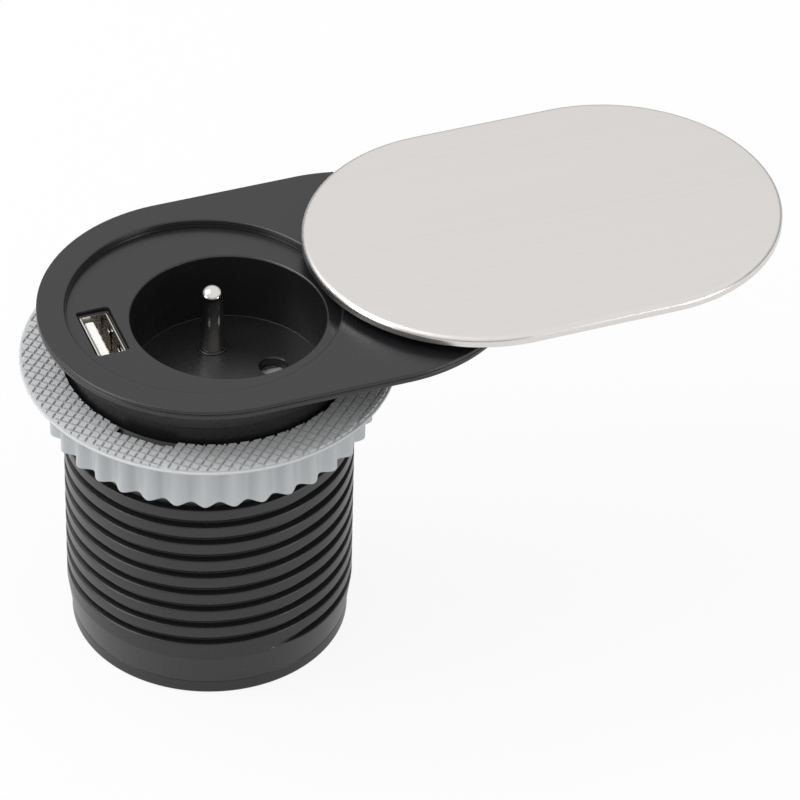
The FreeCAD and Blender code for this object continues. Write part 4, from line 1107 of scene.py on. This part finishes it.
class SOCKET_OT_bottom_cap(bpy.types.Operator):
    """Model the cap that closes the shell, with its bush and screws"""

    bl_idname = "socket.bottom_cap"
    bl_label = "Bottom cap"

    def execute(self, context):
        radius, top = CAP_HIGH.y, SHELL_LOW.z
        cap = turned("end_cap", [
            (CORD_INLET, CAP_LOW.z, BROKEN_EDGE), (radius, CAP_LOW.z, 0.7 * MM),
            (radius, top, CAP_JOINT_EDGE), (CORD_INLET, top), (CORD_INLET, CAP_LOW.z),
        ])
        screw_ring = SCREWS_HIGH.x - SCREW_HEAD
        self.sink_screws(cap, screw_ring)
        finish_piece(cap, "base", "bottom_cap", "black_abs")
        self.model_bush()
        self.model_screws(screw_ring)
        return {"FINISHED"}

    def sink_screws(self, cap, ring):
        radius, mouth = SCREW_HEAD + 0.1 * MM, SCREW_HEAD + 0.4 * MM
        below, lip, seat = CAP_LOW.z - PAST, CAP_LOW.z + 0.2 * MM, CAP_LOW.z + 1.8 * MM
        carve(cap, copy_round(turned("sink", [
            (0, below), (mouth, below), (radius, lip), (radius, seat), (0, seat),
        ], centre=(ring, 0), steps=SMALL_STEPS), 3))

    def model_bush(self):
        low, high = BUSH_LOW.z, BUSH_HIGH.z
        bore, neck, collar = 3.6 * MM, CORD_INLET - 0.1 * MM, high - 1.5 * MM
        bush = turned("cord_bush", [
            (bore, low, 0.5 * MM), (neck, low, BROKEN_EDGE), (neck, collar), (BUSH_HIGH.y, collar),
            (BUSH_HIGH.y, high, SOFT_EDGE), (bore, high, SOFT_EDGE), (bore, low),
        ], steps=64)
        finish_piece(bush, "base", "cable_bush", "bush_rubber")

    def model_screws(self, ring):
        """Cheese-head screws with a straight slot, sunk in the cap."""
        low, high = SCREWS_LOW.z, SCREWS_HIGH.z
        shank, under_head = 1.3 * MM, low + 1.5 * MM
        screw = turned("sunk_screws", [
            (0, low), (SCREW_HEAD, low, 0.35 * MM), (SCREW_HEAD, under_head),
            (shank, under_head), (shank, high, 0.5 * MM), (0, high),
        ], centre=(ring, 0), steps=SMALL_STEPS)
        half_slot, slot_depth = 0.35 * MM, 0.8 * MM
        carve(screw, soft_box("slot", (ring - 3 * MM, -half_slot, low - PAST),
                              (ring + 3 * MM, half_slot, low + slot_depth), 0))
        finish_piece(copy_round(screw, 3), "base", "cap_screws", "steel")


class SOCKET_OT_inner_parts(bpy.types.Operator):
    """Give the contacts, terminals, charger and clamp inside the shell their finishes"""

    bl_idname = "socket.inner_parts"
    bl_label = "Inner parts"

    def execute(self, context):
        paint_nodes({
            "contact_block": "block_white",
            "left_contact": "brass",
            "right_contact": "brass",
            "shutter": "shutter_grey",
            "terminal_cages": "brass",
            "terminal_screws": "steel",
            "block_screws": "steel",
            "charger_board": "board_green",
            "transformer_core": "ferrite",
            "transformer_winding": "copper",
            "capacitors": "can_black",
            "charger_chips": "chip_black",
            "cord_clamp": "black_abs",
            "clamp_screws": "steel",
        })
        return {"FINISHED"}


class SOCKET_OT_return_spring(bpy.types.Operator):
    """Wind the spring that closes the shutter"""

    bl_idname = "socket.return_spring"
    bl_label = "Return spring"

    def execute(self, context):
        low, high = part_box("shutter_spring")
        middle = (low + high) / 2
        span = high.y - low.y
        wire = context.scene.insert_sizes.spring_wire / 2
        turns = context.scene.insert_sizes.spring_turns
        deselect()
        bpy.ops.mesh.primitive_circle_add(vertices=10, radius=wire, fill_type="NOTHING",
                                          location=(high.x - wire, low.y + wire, middle.z))
        spring = name_piece("return_spring")
        apply_place(spring)
        spring.location = (-middle.x, 0, -middle.z)
        apply_place(spring)
        wind(spring, (span - 2 * wire) / turns, turns, 32, axis="Y")
        with editing(spring, "EDGE"):
            clean_mesh()
            pick("edges", lambda edge: edge.is_boundary)
            bpy.ops.mesh.edge_face_add()
        spring.location = (middle.x, 0, middle.z)
        apply_place(spring)
        finish_piece(spring, "base", "shutter_spring", "steel")
        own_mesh(spring)
        return {"FINISHED"}


class SOCKET_OT_stage(bpy.types.Operator):
    """Set up the floor, the lights and the camera"""

    bl_idname = "socket.stage"
    bl_label = "Stage"

    def execute(self, context):
        self.lay_floor()
        self.light_world(context.scene)
        self.hang_lamps()
        self.place_camera(context.scene)
        context.scene.view_settings.view_transform = "Standard"
        return {"FINISHED"}

    def lay_floor(self):
        deselect()
        bpy.ops.mesh.primitive_circle_add(vertices=64, radius=6.0, fill_type="NGON",
                                          location=(0, 0, CAP_LOW.z - 0.05 * MM))
        floor = name_piece("studio_floor")
        apply_place(floor)
        floor.data.materials.append(self.white_paper())

    def white_paper(self):
        """Matt white paper that the camera and reflections see nearly white, with the object's shadow."""
        material, tree = new_material("matt paper")
        seen_directly, seen_reflected = 0.9, 0.5
        fibre = speckle(tree, 0.5)
        paper = add_node(tree, "ShaderNodeBsdfDiffuse", {
            "Color": blend_colours(tree, fibre, linear("#d8d8d8"), linear("#dcdcdc"))})
        glow = add_node(tree, "ShaderNodeEmission", {"Color": [1, 1, 1, 1], "Strength": 1.0})
        rays = add_node(tree, "ShaderNodeLightPath").outputs
        through = add_node(tree, "ShaderNodeMath", {
            0: rays["Is Glossy Ray"], 1: rays["Is Transmission Ray"]}, operation="MAXIMUM")
        indirect = add_node(tree, "ShaderNodeMath", {
            0: through.outputs[0], 1: seen_reflected}, operation="MULTIPLY")
        direct = add_node(tree, "ShaderNodeMath", {
            0: rays["Is Camera Ray"], 1: seen_directly}, operation="MULTIPLY")
        share = add_node(tree, "ShaderNodeMath", {
            0: direct.outputs[0], 1: indirect.outputs[0]}, operation="MAXIMUM")
        mix = add_node(tree, "ShaderNodeMixShader", {
            0: share.outputs[0], 1: paper.outputs["BSDF"], 2: glow.outputs["Emission"]})
        add_node(tree, "ShaderNodeOutputMaterial", {"Surface": mix.outputs["Shader"]})
        return material

    def light_world(self, scene):
        """A studio lit from above: white overhead and darker towards the horizon."""
        world = bpy.data.worlds.new("studio")
        world.use_nodes = True
        tree = world.node_tree
        tree.nodes.clear()
        direction = add_node(tree, "ShaderNodeTexCoord").outputs["Generated"]
        height = add_node(tree, "ShaderNodeSeparateXYZ", {"Vector": direction}).outputs["Z"]
        ceiling = add_node(tree, "ShaderNodeMapRange", {
            "Value": height, "From Min": 0.0, "From Max": 0.6, "To Min": 0.15, "To Max": 1.0,
        }, interpolation_type="SMOOTHSTEP").outputs["Result"]
        light = add_node(tree, "ShaderNodeBackground", {"Color": [1, 1, 1, 1], "Strength": ceiling})
        add_node(tree, "ShaderNodeOutputWorld", {"Surface": light.outputs["Background"]})
        scene.world = world

    def hang_lamps(self):
        """A large soft key from the upper left, and a low panel on the left and at the front right."""
        target = Vector((0.02, 0, -0.03))
        lamps = (
            ("key_light", (-0.65, 0.35, 1.0), 0.8, 9.0),
            ("side_light", (-0.9, -0.1, 0.12), 0.45, 2.0),
            ("front_light", (0.6, -0.75, 0.02), 0.35, 2.4),
        )
        for name, place, size, power in lamps:
            lamp = bpy.data.objects.new(name, bpy.data.lights.new(name, "AREA"))
            lamp.data.size = size
            lamp.data.energy = power
            lamp.location = place
            lamp.rotation_euler = (target - Vector(place)).to_track_quat("-Z", "Y").to_euler()
            bpy.context.scene.collection.objects.link(lamp)

    def place_camera(self, scene):
        """The photograph's own angle, distance and lens."""
        azimuth, elevation, roll = (math.radians(angle) for angle in (-21.515, 39.318, 1.662))
        distance = 977.91 * MM
        lens, film_width = 216.61, 36
        target = Vector((39.584, -3.874, -30.258)) * MM
        back = Vector((math.sin(azimuth) * math.cos(elevation),
                       -math.cos(azimuth) * math.cos(elevation), math.sin(elevation)))
        level = Vector((math.cos(azimuth), math.sin(azimuth), 0))
        upright = back.cross(level)
        right = level * math.cos(roll) + upright * math.sin(roll)
        up = upright * math.cos(roll) - level * math.sin(roll)
        camera = bpy.data.objects.new("camera", bpy.data.cameras.new("camera"))
        camera.data.lens = lens
        camera.data.sensor_width = film_width
        place = Matrix((right, up, back)).transposed().to_4x4()
        place.translation = target + back * distance
        camera.matrix_world = place
        scene.collection.objects.link(camera)
        scene.camera = camera


PIECES = (
    SOCKET_OT_base_shell,
    SOCKET_OT_face_plate,
    SOCKET_OT_socket_insert,
    SOCKET_OT_earth_pin,
    SOCKET_OT_charging_port,
    SOCKET_OT_lid,
    SOCKET_OT_clamp_nut,
    SOCKET_OT_grip_washer,
    SOCKET_OT_bottom_cap,
    SOCKET_OT_inner_parts,
    SOCKET_OT_return_spring,
    SOCKET_OT_stage,
)

GROUPS = {
    "shell_sizes": ShellSizes,
    "plate_sizes": PlateSizes,
    "insert_sizes": InsertSizes,
    "lid_sizes": LidSizes,
    "grip_sizes": GripSizes,
    "socket_colours": SocketColours,
}


class SOCKET_PT_panel(bpy.types.Panel):
    """The socket's pieces and sizes, in the sidebar"""

    bl_idname = "SOCKET_PT_panel"
    bl_label = "Furniture socket"
    bl_space_type = "VIEW_3D"
    bl_region_type = "UI"
    bl_category = "Socket"

    def draw(self, context):
        for piece in PIECES:
            self.layout.operator(piece.bl_idname)
        for name, group in GROUPS.items():
            box = self.layout.box()
            for size in group.__annotations__:
                box.prop(getattr(context.scene, name), size)


def register():
    for group in GROUPS.values():
        bpy.utils.register_class(group)
    for piece in PIECES:
        bpy.utils.register_class(piece)
    bpy.utils.register_class(SOCKET_PT_panel)
    for name, group in GROUPS.items():
        setattr(bpy.types.Scene, name, PointerProperty(type=group))


def unregister():
    for name in GROUPS:
        delattr(bpy.types.Scene, name)
    bpy.utils.unregister_class(SOCKET_PT_panel)
    for piece in reversed(PIECES):
        bpy.utils.unregister_class(piece)
    for group in GROUPS.values():
        bpy.utils.unregister_class(group)


def main():
    register()
    for piece in PIECES:
        group, action = piece.bl_idname.split(".")
        getattr(getattr(bpy.ops, group), action)()


if __name__ == "__main__":
    main()
